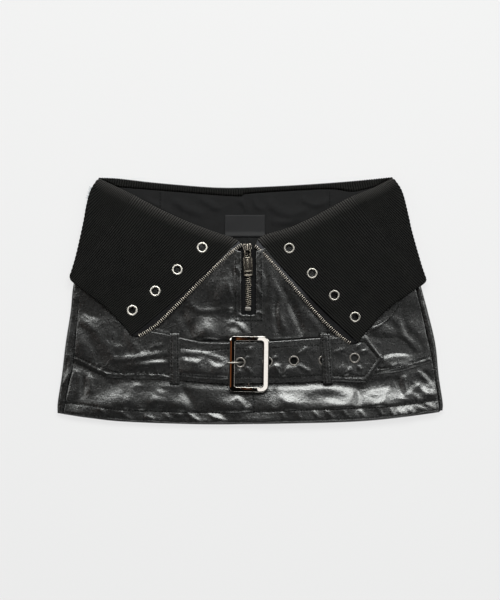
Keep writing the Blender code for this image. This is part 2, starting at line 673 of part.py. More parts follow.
def plate(name, outlines, thickness, bevel, look):
    """A flat plate: its first outline less the others, each a width, height, corner radius and middle Y."""
    curve = bpy.data.curves.new(name, "CURVE")
    curve.dimensions = "2D"
    curve.fill_mode = "BOTH"
    curve.extrude = (thickness / 2 - bevel) * MM
    curve.bevel_depth = bevel * MM
    curve.bevel_resolution = 0
    curve.offset = -bevel * MM
    for outline in outlines:
        rounded_outline(curve, *outline)
    return as_mesh(name, curve, look)


def as_mesh(name, curve, look):
    """A curve made a closed mesh, so that it can be cut and joined."""
    source = bpy.data.objects.new(name + "_curve", curve)
    bpy.context.scene.collection.objects.link(source)
    bpy.context.view_layer.update()
    graph = bpy.context.evaluated_depsgraph_get()
    mesh = bpy.data.meshes.new_from_object(source.evaluated_get(graph))
    bpy.data.objects.remove(source)
    shape = bmesh.new()
    shape.from_mesh(mesh)
    bmesh.ops.remove_doubles(shape, verts=shape.verts, dist=0.00001)
    bmesh.ops.recalc_face_normals(shape, faces=shape.faces)
    shape.to_mesh(mesh)
    shape.free()
    return keep(name, mesh, look)


def buckle():
    """The buckle's frame with the centre bar carried below it, and the prong up through the first eyelet."""
    width, height = BUCKLE_SIZE
    bar_x, bar_y = BUCKLE_BAR
    low = BUCKLE_BELT_Z + STRAP + GAP
    outlines = [(width, height, 7, 0), (width - 2 * bar_x, height - 2 * bar_y, 2.5, 0)]
    frame = plate("buckle_frame", outlines, BUCKLE_THICK, 0.6, "dark_steel")
    frame.location = Vector((*BUCKLE_CENTRE, low + BUCKLE_THICK / 2)) * MM
    frame.rotation_euler.z = BUCKLE_LEAN
    bar_z = TAB_Z + BAR
    reach = height / 2 - bar_y / 2
    across = Matrix.Translation((0, 0, bar_z)) @ Matrix.Rotation(math.radians(90), 4, "X")
    carried = bmesh.new()
    bmesh.ops.create_cone(carried, cap_ends=True, segments=10, radius1=BAR, radius2=BAR, depth=2 * reach + 2,
                          matrix=across)
    additions = [cutter("buckle_bar", carried)]
    for end, y in (("foot", -reach), ("top", reach)):
        post = box_shape(-1.6, y - 1.4, bar_z - 0.5, 1.6, y + 1.4, low + 1)
        additions.append(cutter(f"buckle_post_{end}", post))
    for addition in additions:
        addition.location = Vector((*BUCKLE_CENTRE, 0)) * MM
        addition.rotation_euler.z = BUCKLE_LEAN
        cut(frame, addition, "UNION")
    prong(low)


def prong(frame_low):
    """A round pin that rises beside the centre bar through the first eyelet and rests over the left bar."""
    top = frame_low + BUCKLE_THICK + BAR + GAP
    y = BELT_EYELETS[0][1]
    route = [(-4.4, TAB_Z + BAR), (-7.6, TAB_Z + BAR + 0.4), (-10.0, BUCKLE_BELT_Z + 0.6),
             (-12.0, BUCKLE_BELT_Z + 3.4), (-14.6, top - 1.2), (-17.6, top), (-23, top + 0.1),
             (-28, top - 0.2)]
    curve = bpy.data.curves.new("buckle_prong", "CURVE")
    curve.dimensions = "3D"
    curve.bevel_depth = BAR * MM
    curve.bevel_resolution = 2
    curve.use_fill_caps = True
    spline = curve.splines.new("POLY")
    spline.points.add(len(route) - 1)
    for point, (x, z) in zip(spline.points, route):
        point.co = (x * MM, y * MM, z * MM, 1)
    spline.points[-1].radius = 0.6
    keep("buckle_prong", curve, "dark_steel")


def slider():
    """The zip's slider with the bridge that holds the pull tab. Gives the height of the tab's hinge."""
    low = TAPE_Z + TAPE + BACK_LIFT + GAP
    crown = low + SLIDER_THICK
    body = plate("zip_slider", [(11.0, 9.0, 2.5, 0)], SLIDER_THICK, 0.7, "aged_nickel")
    body.location = Vector((SLIDER_X, SLIDER_Y, (low + crown) / 2)) * MM
    behind, before = SLIDER_Y + 4, TAB_AXIS_Y - 2.2
    arch = [(behind, crown - 1), (behind - 0.6, crown + 2.6), (behind - 2.6, crown + 3.6),
            (TAB_AXIS_Y - 0.4, crown + 3.4), (before, crown + 2.0), (before, crown - 1)]
    bridge = cutter("slider_bridge", strip(arch, 2.8, 1.0))
    bridge.location = Vector((SLIDER_X, 0, 0)) * MM
    cut(body, bridge, "UNION")
    return crown + 1.5


def strip(points, width, thickness):
    """A bent flat strip in the YZ plane, as a closed bmesh in mm."""
    line = np.array(points)
    steps = np.gradient(line, axis=0)
    steps /= np.linalg.norm(steps, axis=1)[:, None]
    normals = np.stack([-steps[:, 1], steps[:, 0]], axis=1) * thickness / 2
    faces = []
    for offset in (-normals, normals):
        faces.append([[(side * width / 2, y, z) for side in (-1, 1)] for y, z in line + offset])
    return closed_shape(*faces)


def pull_tab(axis_z):
    """The pull tab, with its origin on the hinge: a window round the bridge, a panel and a slot below."""
    window, slot, hinge, end = 8.6, 2.4, 0.8, 1.6
    inside = TAB_WIDTH - 3.6
    foot = hinge - 0.1 - TAB_LENGTH
    outlines = [
        (TAB_WIDTH, TAB_LENGTH, 1.8, foot + TAB_LENGTH / 2),
        (inside, window, 1.0, -hinge - window / 2),
        (inside, slot, 0.8, foot + end + slot / 2),
    ]
    piece = plate("zip_pull_tab", outlines, PULL, 0.25, "aged_nickel")
    piece.location = Vector((SLIDER_X, TAB_AXIS_Y, axis_z)) * MM
    piece.rotation_euler = (math.radians(TAB_DIP), 0, math.radians(TAB_LEAN))


def clear():
    for item in list(bpy.data.objects):
        bpy.data.objects.remove(item)


def main():
    clear()
    back_panel()
    x0, y0, x1, y1 = WINDOW
    window = cutter("zip_window", box_shape(x0, y0, 0, x1, y1, 20))
    front("left", window)
    front("right", window)
    side_tabs()
    belt()
    collar("left")
    collar("right")
    back_collar()
    facing_and_label()
    shorts()
    zip_tapes()
    pull_tab(slider())
    buckle()


main()
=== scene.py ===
"""Dresses the leather skort as it lies with its front up: coated leather, ribbed collar, zip, belt, buckle.

Sizes are in millimetres until a mesh is made. Each cloth piece is a closed thin shell over the form of the
solid that it stands for, with the creases of the real one listed one by one.
"""

import math
import random

import bmesh
import bpy
import numpy as np
from mathutils import Matrix, Vector
from mathutils.bvhtree import BVHTree


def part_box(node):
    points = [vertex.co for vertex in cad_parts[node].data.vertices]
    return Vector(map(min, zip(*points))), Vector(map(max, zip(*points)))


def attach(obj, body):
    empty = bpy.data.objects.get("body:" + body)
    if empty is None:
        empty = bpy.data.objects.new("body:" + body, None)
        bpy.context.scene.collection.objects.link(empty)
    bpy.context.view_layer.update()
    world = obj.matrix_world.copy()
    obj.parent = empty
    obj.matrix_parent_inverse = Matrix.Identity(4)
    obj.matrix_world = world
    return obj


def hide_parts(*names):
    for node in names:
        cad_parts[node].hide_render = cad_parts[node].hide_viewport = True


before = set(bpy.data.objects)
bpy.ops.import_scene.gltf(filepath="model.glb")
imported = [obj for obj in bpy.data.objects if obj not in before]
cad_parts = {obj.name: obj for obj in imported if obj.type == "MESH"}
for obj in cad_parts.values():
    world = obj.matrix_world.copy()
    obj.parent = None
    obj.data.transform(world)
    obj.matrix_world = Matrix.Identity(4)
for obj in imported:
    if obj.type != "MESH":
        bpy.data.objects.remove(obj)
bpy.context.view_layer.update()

MM = 0.001

# Driving sizes, in mm
GAP = 0.3  # between two pieces that touch
LEATHER = 1.2  # one layer of coated leather
KNIT = 2.1  # the ribbed collar without its ribs
RIB_HEIGHT = 0.8
BACK_RIBS = 122
RIB_BOW = 0.017  # how far a collar's ribs bow towards the zip, to their length
SIDE_RIBS = 1.55  # how much closer together the ribs start that end on the side edge
LAST_RIB = 0.98  # share of the fold and of the side edge where the last rib lies
STRAP = 2.2  # the belt, two layers of leather
TAB = 1.4  # the side tabs and the under strap
LOOP_WIDTH = 11.8
LOOP = 1.5
TAPE = 1.0
EYELET_OUTER = 6.6  # radii of an eyelet
EYELET_HOLE = 4.1
EYELET_WALL = 0.6
EYELET_HEIGHT = 0.8
BAR = 1.2  # radius of the buckle's centre bar and prong
# Heights above the ground, in mm, before the back's turned-down collar lifts the upper half
BACK_LIFT = 2.7
LIFT_FROM, LIFT_TO = -16.0, 24.0  # Y over which the layers climb onto the turned-down collar
SHORTS = 1.0  # the jersey of the inner shorts
SHORTS_Z = 1.6
FACING_Z = 1.5
TAPE_Z = 2.9
FRONT_Z = 4.4
TAB_Z = FRONT_Z + LEATHER + GAP
BELT_Z = TAB_Z + TAB + GAP
BUCKLE_BELT_Z = 8.8  # the belt's underside where it rides over the buckle's centre bar
COLLAR_Z = 8.9
COLLAR_OVER_TAB = 8.0
OVER_BELT = 2.3  # how much more the belt lifts the right collar's tip
FOLD_Z = 7.0  # underside of the collar where it turns over
SIDE_Z = 5.0

# Outlines, in mm: X, Y
HEM = [(-235, -136.8), (-195.5, -142.5), (-148.7, -147.2), (-58.6, -150.2), (0, -149.8), (58.3, -148.8),
       (107, -147.5), (149, -145.2), (193.4, -140.3), (234.9, -133.4)]
SKIRT_LEFT = [(-235, -136.8), (-234.7, -123), (-229.8, -91.3), (-225.2, -52.4), (-219.1, -13.4),
              (-215.1, 20.7), (-205, 54.8), (-196.4, 93.8), (-184, 132)]
SKIRT_RIGHT = [(234.9, -133.4), (235, -123), (230.2, -91.3), (226.1, -52.4), (216.9, -13.4), (207.5, 20.7),
               (196.3, 64.6), (185.5, 103.5), (172, 134)]
SEAM_LEFT = [(-226.8, -137.8), (-221.2, -104), (-215, -75.9), (-209.9, -19.5), (-204.3, 13.2),
             (-198.7, 43.8), (-189, 90), (-176, 131)]
SEAM_RIGHT = [(230.1, -135.2), (227, -106), (220.2, -63.7), (207.4, -8.9), (193.5, 43.8), (179, 90),
              (163, 133)]
CENTRE_FRONT = [(4.1, -149.8), (2.9, -110.8), (0.5, -24.4), (-1.8, 57)]
HEM_LEFT = [SEAM_LEFT[0]] + HEM[1:4] + [CENTRE_FRONT[0]]
HEM_RIGHT = [CENTRE_FRONT[0]] + HEM[5:9] + [SEAM_RIGHT[0]]
FRONT_TOP_LEFT = [(-176, 131), (-148, 122), (-107, 101.5), (-73, 86), (-39, 70), (-1.8, 57)]
FRONT_TOP_RIGHT = [(163, 133), (122.5, 117.5), (95, 103), (71.3, 90.5), (47.3, 76), (-1.8, 57)]
BACK_TOP = [(-184, 132), (-157.7, 135), (-106.1, 131.5), (-17.5, 125), (0, 128), (92.4, 133.4),
            (124.1, 130.4), (150, 135), (172, 134)]
COLLAR_OUTLINE = {  # each side's fold from the zip outwards, its side edge, free edge and zip edge downwards
    "left": {
        "fold": [(-9.6, 70.6), (-21.6, 77.6), (-38.6, 82.7), (-72.8, 95.5), (-106.9, 110.8), (-148, 132.3),
                 (-184.8, 149.6)],
        "side": [(-219.8, 28.9), (-212.1, 54.8), (-203.4, 93.8), (-199.5, 115.7), (-194.5, 134),
                 (-184.8, 149.6)],
        "free": [(-137, -45.2), (-142.3, -44.9), (-154.8, -29.7), (-178.9, -5.6), (-214, 21.5),
                 (-219.8, 28.9)],
        "zip": [(-7.9, 67.2), (-14.7, 63.8), (-38.6, 43.4), (-92, -9.7), (-115.8, -32.2), (-135.9, -44.2)],
        "first_rib": (5.5, 9.5),  # how far along the fold and the free edge the ribs begin
        "corner": 0.76,  # the share of the ribs that end on the free edge
        "ribs": 62,
    },
    "right": {
        "fold": [(8, 74.1), (16.6, 80.1), (47.3, 89.5), (71.3, 99.8), (95.1, 112.5), (122.5, 127),
                 (146.4, 136.4), (173.8, 150.4)],
        "side": [(214.7, 25.6), (208.2, 45.1), (197.2, 84), (192.9, 103.5), (185.3, 132.8), (173.8, 150.4)],
        "free": [(123.5, -53.6), (130.7, -52.3), (141, -37.4), (169.7, -8), (208.9, 19.2), (214.7, 25.6)],
        "zip": [(4.6, 66.4), (18.3, 53.6), (49, 19.4), (81.5, -18.1), (104, -40.2), (122, -53.1)],
        "first_rib": (1.5, 9.5),
        "corner": 0.71,
        "ribs": 60,
    },
}
BACK_COLLAR_TOP = [(-184.6, 149.6), (-160.9, 148.7), (-117, 143.7), (-58.6, 138.7), (-29.4, 137.5),
                   (0, 138), (58.3, 140.8), (116.8, 144.9), (173.6, 150.3)]
BACK_COLLAR_FOOT = [(-219.6, 28.9), (-150, 26.5), (0, 25.5), (150, 26), (214.5, 25.6)]
FACING_TOP = [(-165, 140), (-157.7, 138.2), (-106.1, 134), (-17.5, 127.3), (0, 130.7), (92.4, 135.9),
              (124.1, 132.8), (150, 138.2)]
FACING_FOOT = [(-165, 118), (-107, 95), (-73, 80), (-39, 67), (-9.6, 56), (8, 58), (47.3, 73), (95, 96),
               (150, 122)]
LABEL = (-30.9, 78.2, 18.1, 104.9)
LABEL_THICK = 1.0

# Each line of a side tab runs between the same two sides: X, Y
TAB_LEFT_TOP = [(-207, 20), (-178, -1.5), (-160, -17), (-146, -32), (-115.8, -37.8), (-92.6, -42.6)]
TAB_LEFT_FOOT = [(-214.7, -73.6), (-198.7, -81.5), (-180.6, -90.2), (-164.8, -93.9), (-101.1, -95.2),
                 (-92.6, -95.6)]
TAB_RIGHT_TOP = [(91.5, -42.6), (115, -41.5), (141, -37.6), (145.3, -32.4), (162.7, -24.7), (176.7, -10.8),
                 (187, 8), (201, 16)]
TAB_RIGHT_FOOT = [(91.5, -94.5), (115, -93), (148.7, -89.9), (176.5, -87), (199.8, -81.1), (220.4, -74.7)]
UNDER_STRAP_TOP = [(0.9, -46.6), (24.2, -46.4), (47.4, -45.3), (91, -42.6)]
UNDER_STRAP_FOOT = [(0.9, -97.5), (91, -94.5)]
BELT_TOP = [(-92.1, -42.9), (-67.2, -48.4), (-56.6, -50), (-24.5, -50.4), (24.2, -48.9), (83.9, -44.9),
            (121.7, -43.4), (141.9, -41.9), (163.1, -69.2)]
BELT_FOOT = [(-92.1, -95.7), (-62.6, -98.3), (-26.7, -100.4), (14.7, -99.5), (59.2, -98.9), (87.2, -97.2),
             (136.3, -98.9), (142.5, -98), (163.1, -70.8)]
BELT_RISE = [(-93, TAB_Z), (-60, TAB_Z + 0.4), (-28, BUCKLE_BELT_Z), (4, BUCKLE_BELT_Z),
             (13, BELT_Z + 0.2), (60, BELT_Z), (170, BELT_Z)]

# Fittings
BELT_EYELETS = [(-11.9, -74.7), (21.3, -74.1), (53.1, -72.7), (89.4, -72.2), (127, -69.3)]
COLLAR_EYELETS = {
    "left": [(-58.3, 65), (-88.5, 38.2), (-115.3, 12.1), (-143.2, -11.3)],
    "right": [(47.5, 64.2), (75.3, 33.6), (102.2, 6.9), (127.4, -19.4)],
}
LOOPS = {  # X at the top and at the foot, and the top of what lies under it
    "left": (-91.8, -92.0, TAB_Z + STRAP),
    "right": (90.7, 94.8, BELT_Z + STRAP + GAP + EYELET_HEIGHT),
}
LOOP_TOP, LOOP_FOOT = -36.4, -102.2
BUCKLE_CENTRE = (-1.3, -76.5)
BUCKLE_SIZE = (48.4, 68.2)
BUCKLE_BAR = (7.4, 6.0)  # width of the upright bars, and of the two across
BUCKLE_THICK = 3.0
BUCKLE_LEAN = math.radians(-0.8)
WINDOW = (-10.8, -16.6, 7.3, 80)  # the zip's window in the fronts
ZIP_X = -2.0
ZIP_FOOT = -21.6  # the closed tape's lower end
TOOTH_PITCH = 2.5
SLIDER_X = -3.4
SLIDER_Y = 65.4
SLIDER_THICK = 3.2
TAB_AXIS_Y = 62.4
TAB_LENGTH = 32.6
TAB_WIDTH = 10.9
PULL = 1.3  # thickness of the pull tab
TAB_DIP = 2.6  # degrees that the pull tab hangs down from level
TAB_LEAN = 2.4  # degrees that it leans to the side
STOP = (-6.2, -12.2, 1.1, -7.1)

# The largest folds of the leather: a long swelling each, at X, Y, turned by the angle, its half length and
# half width, and its height
FRONT_FOLDS = [
    # x, y, angle, length, width, height
    (-222, -117, 60, 12, 6, 2.0),
    (-168, -128, 6, 46, 14, 3.2),
    (-112, -121, 0, 10, 7, 2.2),
    (-84, -127, -10, 14, 9, 2.0),
    (-20, -130, -14, 18, 10, 2.8),
    (52, -128, 2, 34, 15, 3.0),
    (110, -129, 4, 34, 15, 2.8),
    (160, -124, 8, 18, 11, 3.2),
    (216, -114, 25, 12, 7, 2.0),
    (-53, -37, 0, 13, 15, 4.4),
    (-17, -42, 8, 13, 11, 3.2),
    (-36, 2, 60, 22, 12, 1.8),
    (-70, -18, 50, 20, 10, 1.2),
    (24, -6, 84, 18, 7, 0.6),
    (54, -22, 70, 14, 9, 0.6),
]
TAB_LEFT_FOLDS = [
    (-205, -52, -60, 22, 13, 1.5),
    (-166, -52, -48, 20, 9, 1.2),
    (-132, -76, 4, 26, 10, 2.0),
]
TAB_RIGHT_FOLDS = [
    (180, -79, 6, 22, 9, 3.0),
    (168, -38, -24, 20, 9, 1.6),
    (203, -34, -60, 22, 8, 1.2),
]
BELT_FOLDS = [
    (-62, -84, -9, 26, 15, 3.6),
    (-36, -86, 10, 12, 11, 2.4),
    (40, -84, 0, 26, 8, 1.0),
    (112, -84, 0, 18, 8, 1.0),
]
# Where the tabs and the belt cover the fronts
COVER_FOOT = [(-235, -66), *TAB_LEFT_FOOT[:5], *BELT_FOOT[1:8], (152, -90), *TAB_RIGHT_FOOT[3:], (236, -70)]
COVER_TOP = [(-240, 10), (-142, -44), *TAB_LEFT_TOP[4:], *BELT_TOP[1:7], (240, 10)]

# Creases of the leather: height and half width in mm, and the line each follows. Troughs are negative.
FRONT_CREASES = [
    (1.1, 4.5, [(-212, -84), (-217, -96), (-220, -111)]),
    (-1.0, 4, [(-202, -92), (-202, -99), (-205, -118)]),
    (1.2, 4, [(-198, -92), (-195, -100), (-194, -112)]),
    (0.9, 4, [(-209, -90), (-208, -100), (-210, -118)]),
    (1.0, 6, [(-151, -98), (-158, -112), (-165, -125)]),
    (1.2, 6, [(-137, -99), (-147, -116), (-155, -129)]),
    (0.8, 3.5, [(-115, -109), (-103, -114)]),
    (0.7, 3, [(-137, -129), (-128, -131)]),
    (0.9, 2.6, [(-159, -134), (-151, -140), (-143, -146)]),
    (0.9, 2.6, [(-128, -139), (-116, -145)]),
    (1.0, 2.6, [(-77, -136), (-68, -143), (-59, -148)]),
    (1.0, 2.6, [(-53, -136), (-41, -143), (-29, -147)]),
    (0.7, 2.6, [(-43, -139), (-32, -144)]),
    (0.8, 2.6, [(-93, -137), (-82, -140)]),
    (-1.2, 5, [(-84, -103), (-75, -118), (-68, -132)]),
    (1.1, 3.5, [(-22, -123), (-16, -119), (-11, -123), (-5, -131), (2, -128)]),
    (1.1, 4, [(-28, -29), (-19, -26), (-10, -32), (-3, -41)]),
    (0.6, 3, [(-28, -10), (-19, -10)]),
    (0.8, 4, [(-78, 5), (-66, -10), (-47, -12), (-25, -9)]),
    (0.9, 2.5, [(-29, 28), (-25, 13), (-20, 0)]),
    (-1.0, 5, [(-84, -13), (-78, -28), (-68, -44)]),
    (0.6, 3.5, [(23, 37), (30, 22), (36, 10)]),
    (-1.0, 5, [(25, 33), (36, 19), (47, 3), (53, -15), (61, -35)]),
    (0.7, 4, [(39, 0), (36, -15), (39, -26), (43, -35)]),
    (0.6, 3.5, [(28, 6), (26, -10), (28, -23)]),
    (0.5, 4, [(37, -6), (35, -18), (40, -31), (46, -40)]),
    (-0.9, 3, [(32, 4), (31, -16), (34, -40)]),
    (-1.2, 4, [(49, 0), (56, -16), (61, -29), (63, -40)]),
    (0.5, 3.5, [(23, -3), (19, -11), (15, -18)]),
    (0.5, 5, [(64, -8), (76, -24), (86, -34)]),
    (0.7, 2.2, [(-20, 43), (-15, 39), (-12, 32)]),
    (0.7, 2.0, [(-12, 24), (-16, 17), (-18, 8)]),
    (0.7, 2.0, [(9, 38), (13, 34), (17, 25)]),
    (0.9, 2.0, [(9, 18), (12, 10), (15, 4)]),
    (-0.9, 2.4, [(-24, 42), (-21, 30), (-22, 20)]),
    (-0.7, 2.4, [(19, 36), (21, 22), (20, 8)]),
    (0.8, 1.8, [(-15.5, -15.5), (-10.5, -17.5), (-6, -17)]),
    (0.8, 1.8, [(-2, -18.5), (4, -17.5), (9, -14)]),
    (0.7, 1.8, [(8, -13), (12.5, -14.5), (14.5, -18)]),
    (0.8, 2.2, [(-25.5, -10.5), (-21, -11.5)]),
    (-0.8, 4, [(31, -107), (30, -117), (31, -129)]),
    (1.0, 5, [(37, -115), (45, -122), (56, -124)]),
    (1.5, 7, [(66, -111), (89, -107), (112, -111), (126, -117)]),
    (1.2, 6, [(95, -125), (112, -127), (126, -122)]),
    (-1.2, 5, [(130, -101), (133, -114), (131, -127)]),
    (1.0, 4, [(146, -113), (158, -113), (170, -108)]),
    (0.9, 4, [(148, -126), (159, -124), (166, -116)]),
    (-1.2, 4, [(178, -92), (181, -100), (186, -116)]),
    (1.0, 3.5, [(189, -91), (187, -98), (190, -117)]),
    (1.2, 4, [(205, -101), (199, -108), (191, -117)]),
    (1.2, 4, [(204, -101), (209, -108), (221, -113), (228, -110)]),
    (1.0, 3.5, [(213, -104), (221, -103), (227, -109)]),
    (0.9, 3.5, [(180, -118), (194, -120), (199, -115), (207, -122)]),
    (1.0, 3.5, [(204, -86), (212, -93), (219, -100)]),
    (-1.0, 3, [(211, -86), (216, -91), (221, -97)]),
    (0.9, 2.2, [(156, -131), (161, -139)]),
    (0.9, 2.2, [(185, -131), (189, -139)]),
    (0.9, 2.2, [(191, -129), (199, -137)]),
    (0.9, 2.6, [(203, -129), (213, -132), (223, -135)]),
    (0.9, 2.6, [(211, -124), (225, -131)]),
    (0.8, 2.2, [(37, -134), (42, -143)]),
    (0.8, 2.2, [(56, -133), (61, -143)]),
    (0.8, 2.2, [(76, -133), (84, -143)]),
    (0.8, 2.2, [(92, -133), (102, -144)]),
    (0.8, 2.2, [(112, -132), (118, -140)]),
    (0.8, 2.0, [(133, -132), (138, -141)]),
    (1.0, 2.2, [(171, -131), (175, -142)]),
    (0.9, 1.8, [(180, -131), (185, -141)]),
    (0.8, 2.0, [(-185, -129), (-176, -138)]),
    (0.7, 2.0, [(-104, -137), (-96, -144)]),
]
FACING_CREASES = [
    (3.2, 5, [(22, 122), (34, 110), (52, 106), (70, 112)]),
    (2.8, 4, [(62, 124), (80, 117), (96, 123)]),
    (2.4, 4, [(26, 98), (42, 96), (58, 99)]),
    (3.0, 5, [(-92, 122), (-76, 112), (-58, 106)]),
    (2.6, 4, [(-60, 124), (-46, 116), (-36, 112)]),
    (2.4, 3, [(-14, 124), (-7, 117), (-4, 110)]),
    (2.2, 3, [(4, 125), (8, 116), (16, 111)]),
    (2.2, 4, [(-128, 124), (-112, 116), (-98, 108)]),
]
TAB_LEFT_CREASES = [
    (-0.9, 7, [(-204, -29), (-195, -49), (-186, -64), (-176, -78)]),
    (0.6, 5, [(-194, -24), (-186, -39), (-177, -54)]),
    (0.7, 3.5, [(-172, -59), (-166, -69), (-162, -74)]),
    (-1.0, 4, [(-203, -9), (-193, -15), (-181, -18)]),
    (1.0, 5, [(-207, -22), (-198, -29), (-191, -37)]),
    (1.0, 6, [(-150, -35), (-144, -50), (-137, -63)]),
    (-0.7, 5, [(-175, -43), (-168, -49), (-158, -50)]),
    (0.9, 4, [(-168, -71), (-143, -69), (-119, -65), (-100, -63)]),
    (-0.7, 3, [(-137, -74), (-119, -71), (-100, -69)]),
    (0.5, 2.5, [(-118, -76), (-100, -75)]),
    (0.6, 3, [(-113, -57), (-106, -52)]),
    (0.6, 3, [(-122, -59), (-113, -52)]),
]
TAB_RIGHT_CREASES = [
    (1.3, 5, [(172, -19), (182, -28), (186, -41), (195, -50), (204, -60), (201, -69)]),
    (-0.9, 4, [(146, -43), (166, -47), (189, -52)]),
    (-0.9, 3.5, [(156, -63), (176, -59), (199, -63)]),
    (1.3, 5, [(160, -73), (176, -68), (194, -68)]),
    (0.7, 4, [(194, -24), (197, -39)]),
    (0.9, 3, [(149, -35), (161, -26), (172, -15), (180, -2)]),
]
BELT_CREASES = [
    (0.8, 4, [(-86, -63), (-71, -63), (-57, -64), (-41, -69), (-26, -75)]),
    (0.7, 3.5, [(-86, -71), (-72, -74), (-63, -74), (-57, -69)]),
    (0.7, 3.5, [(-57, -69), (-49, -74), (-41, -80), (-26, -77)]),
    (-0.6, 3, [(-78, -65), (-75, -71)]),
    (0.5, 2.2, [(-6, -72), (-2, -67)]),
    (0.5, 2.2, [(-5, -80), (-1, -84), (2, -89)]),
    (0.5, 2.2, [(-13, -83), (-13, -89)]),
    (0.5, 2.6, [(2, -51), (1, -56), (-1, -63)]),
    (0.6, 2.2, [(28, -71), (33, -67)]),
    (0.6, 2.2, [(29, -77), (33, -84), (37, -90)]),
    (0.5, 2.2, [(31, -77), (36, -81)]),
    (0.6, 2.2, [(58, -65), (69, -57)]),
    (0.6, 2.2, [(59, -78), (73, -86)]),
    (0.5, 2.2, [(48, -80), (37, -94)]),
    (0.5, 2.2, [(130, -58), (133, -52)]),
    (0.6, 2.2, [(135, -63), (142, -59)]),
    (0.6, 2.2, [(131, -78), (135, -84)]),
    (0.6, 2.2, [(123, -81), (112, -93)]),
    (0.5, 2.2, [(102, -63), (115, -58)]),
]
SIDE_CREASES = [
    (0.8, 3, [(-217, 13), (-219, -14), (-223, -49), (-225, -72)]),
    (0.7, 3, [(-219, -82), (-228, -101)]),
    (0.7, 3, [(-215, -82), (-222, -94), (-228, -103)]),
    (0.8, 3, [(212, -5), (219, -34), (225, -61)]),
    (0.6, 2.5, [(-209, 8), (-213, -1)]),
]

# Rows of stitches on the leather: X, Y
HEM_STITCH = [(-234.6, -123), (-221.2, -124.2), (-198.7, -126.6), (-176.1, -130.3), (-146.8, -132.8),
              (-101.1, -134.6), (-58.6, -135.8), (-18.4, -136.1), (4, -135.1), (62.7, -132.6),
              (118.1, -130.9), (183.4, -127), (235, -119.4)]
STITCH_LENGTH = 2.7
STITCH_PITCH = 3.6
STITCH_THICK = 0.8  # across the thread, twice the real one so that it shows

EDGE = (0, 0.3, 0.8, 1.6)  # distances from a cloth edge of the closer rows that round it
EDGE_DROP = (0.48, 0.14, 0.02)  # how much of its thickness each of them loses on either side
FLAT_WALL = 0.72  # a face whose normal leans further than this Z from upright is drawn flat


# Lines, grids and reliefs
# ------------------------


def ease(t):
    """0 below 0, 1 above 1, and a smooth step between."""
    t = np.clip(t, 0.0, 1.0)
    return t * t * (3 - 2 * t)


def lift(y):
    """How high the turned-down back collar lifts what lies at this Y."""
    return BACK_LIFT * ease((y - LIFT_FROM) / (LIFT_TO - LIFT_FROM))


def belt_lift(side, y):
    """How high the belt lifts a turned-down collar at this Y. Only the right one reaches it."""
    return OVER_BELT * ease((-18 - y) / 20) if side == "right" else 0.0 * y


def swell(folds, x, y):
    """The height that the large folds in a table add."""
    total = 0.0 * x
    for fold_x, fold_y, angle, length, width, height in folds:
        turn = math.radians(angle)
        along = (x - fold_x) * math.cos(turn) + (y - fold_y) * math.sin(turn)
        across = (y - fold_y) * math.cos(turn) - (x - fold_x) * math.sin(turn)
        total = total + height * np.exp(-((along / length) ** 2) - (across / width) ** 2)
    return total


def path(points):
    """A smooth line through the points, as a function of 0 to 1 that runs evenly along its length."""
    knots = np.array(points, float)
    knots = np.vstack([2 * knots[0] - knots[1], knots, 2 * knots[-1] - knots[-2]])
    line = [knots[1]]
    for a, b, c, d in zip(knots, knots[1:], knots[2:], knots[3:]):
        for t in np.linspace(0, 1, 9)[1:]:
            slope = (c - a) * t + (2 * a - 5 * b + 4 * c - d) * t**2 + (3 * b - a - 3 * c + d) * t**3
            line.append(b + slope / 2)
    line = np.array(line)
    reach = np.concatenate([[0], np.cumsum(np.linalg.norm(np.diff(line, axis=0), axis=1))])
    reach /= reach[-1]
    return lambda t: np.stack([np.interp(t, reach, line[:, axis]) for axis in (0, 1)], axis=-1)


def length_of(points):
    """The length of the smooth line through the points."""
    line = path(points)(np.linspace(0, 1, 81))
    return float(np.linalg.norm(np.diff(line, axis=0), axis=1).sum())


def patch(foot, top, left, right, us, vs):
    """Rows of points inside four lines that meet at their corners, at the shares us across and vs upwards."""
    foot, top, left, right = (path(side) for side in (foot, top, left, right))
    u, v = us[None, :, None], vs[:, None, None]
    across = (1 - v) * foot(us)[None] + v * top(us)[None]
    upward = (1 - u) * left(vs)[:, None] + u * right(vs)[:, None]
    corners = (1 - v) * ((1 - u) * foot(0) + u * foot(1)) + v * ((1 - u) * top(0) + u * top(1))
    return across + upward - corners


def steps(length, pitch):
    """Shares of a length at an even pitch, with the closer ones at both ends that round an edge."""
    count = max(3, round((length - 2 * EDGE[-1]) / pitch) + 1)
    inner = np.linspace(EDGE[-1], length - EDGE[-1], count)
    ends = np.array(EDGE[:-1])
    return np.concatenate([ends, inner, length - ends[::-1]]) / length


def unevenness(x, y, size, seed):
    """Soft random bumps from -1 to 1, of about the given size."""
    grid = np.random.default_rng(seed).uniform(-1, 1, (64, 64))
    gx, gy = np.asarray(x) / size, np.asarray(y) / size
    ix, iy = np.floor(gx).astype(int), np.floor(gy).astype(int)
    fx, fy = ease(gx - ix), ease(gy - iy)

    def corner(a, b):
        return grid[(ix + a) % 64, (iy + b) % 64]

    low = corner(0, 0) * (1 - fx) + corner(1, 0) * fx
    high = corner(0, 1) * (1 - fx) + corner(1, 1) * fx
    return low * (1 - fy) + high * fy


def crumple(x, y, size, seed):
    """Thin soft ridges that wander over the leather, from 0 to 1."""
    bent_x = x + 0.5 * size * unevenness(x, y, 1.7 * size, seed + 1)
    bent_y = y + 0.5 * size * unevenness(x, y, 1.7 * size, seed + 2)
    ridge = 1 - np.abs(unevenness(bent_x, bent_y, size, seed))
    return ridge ** 4


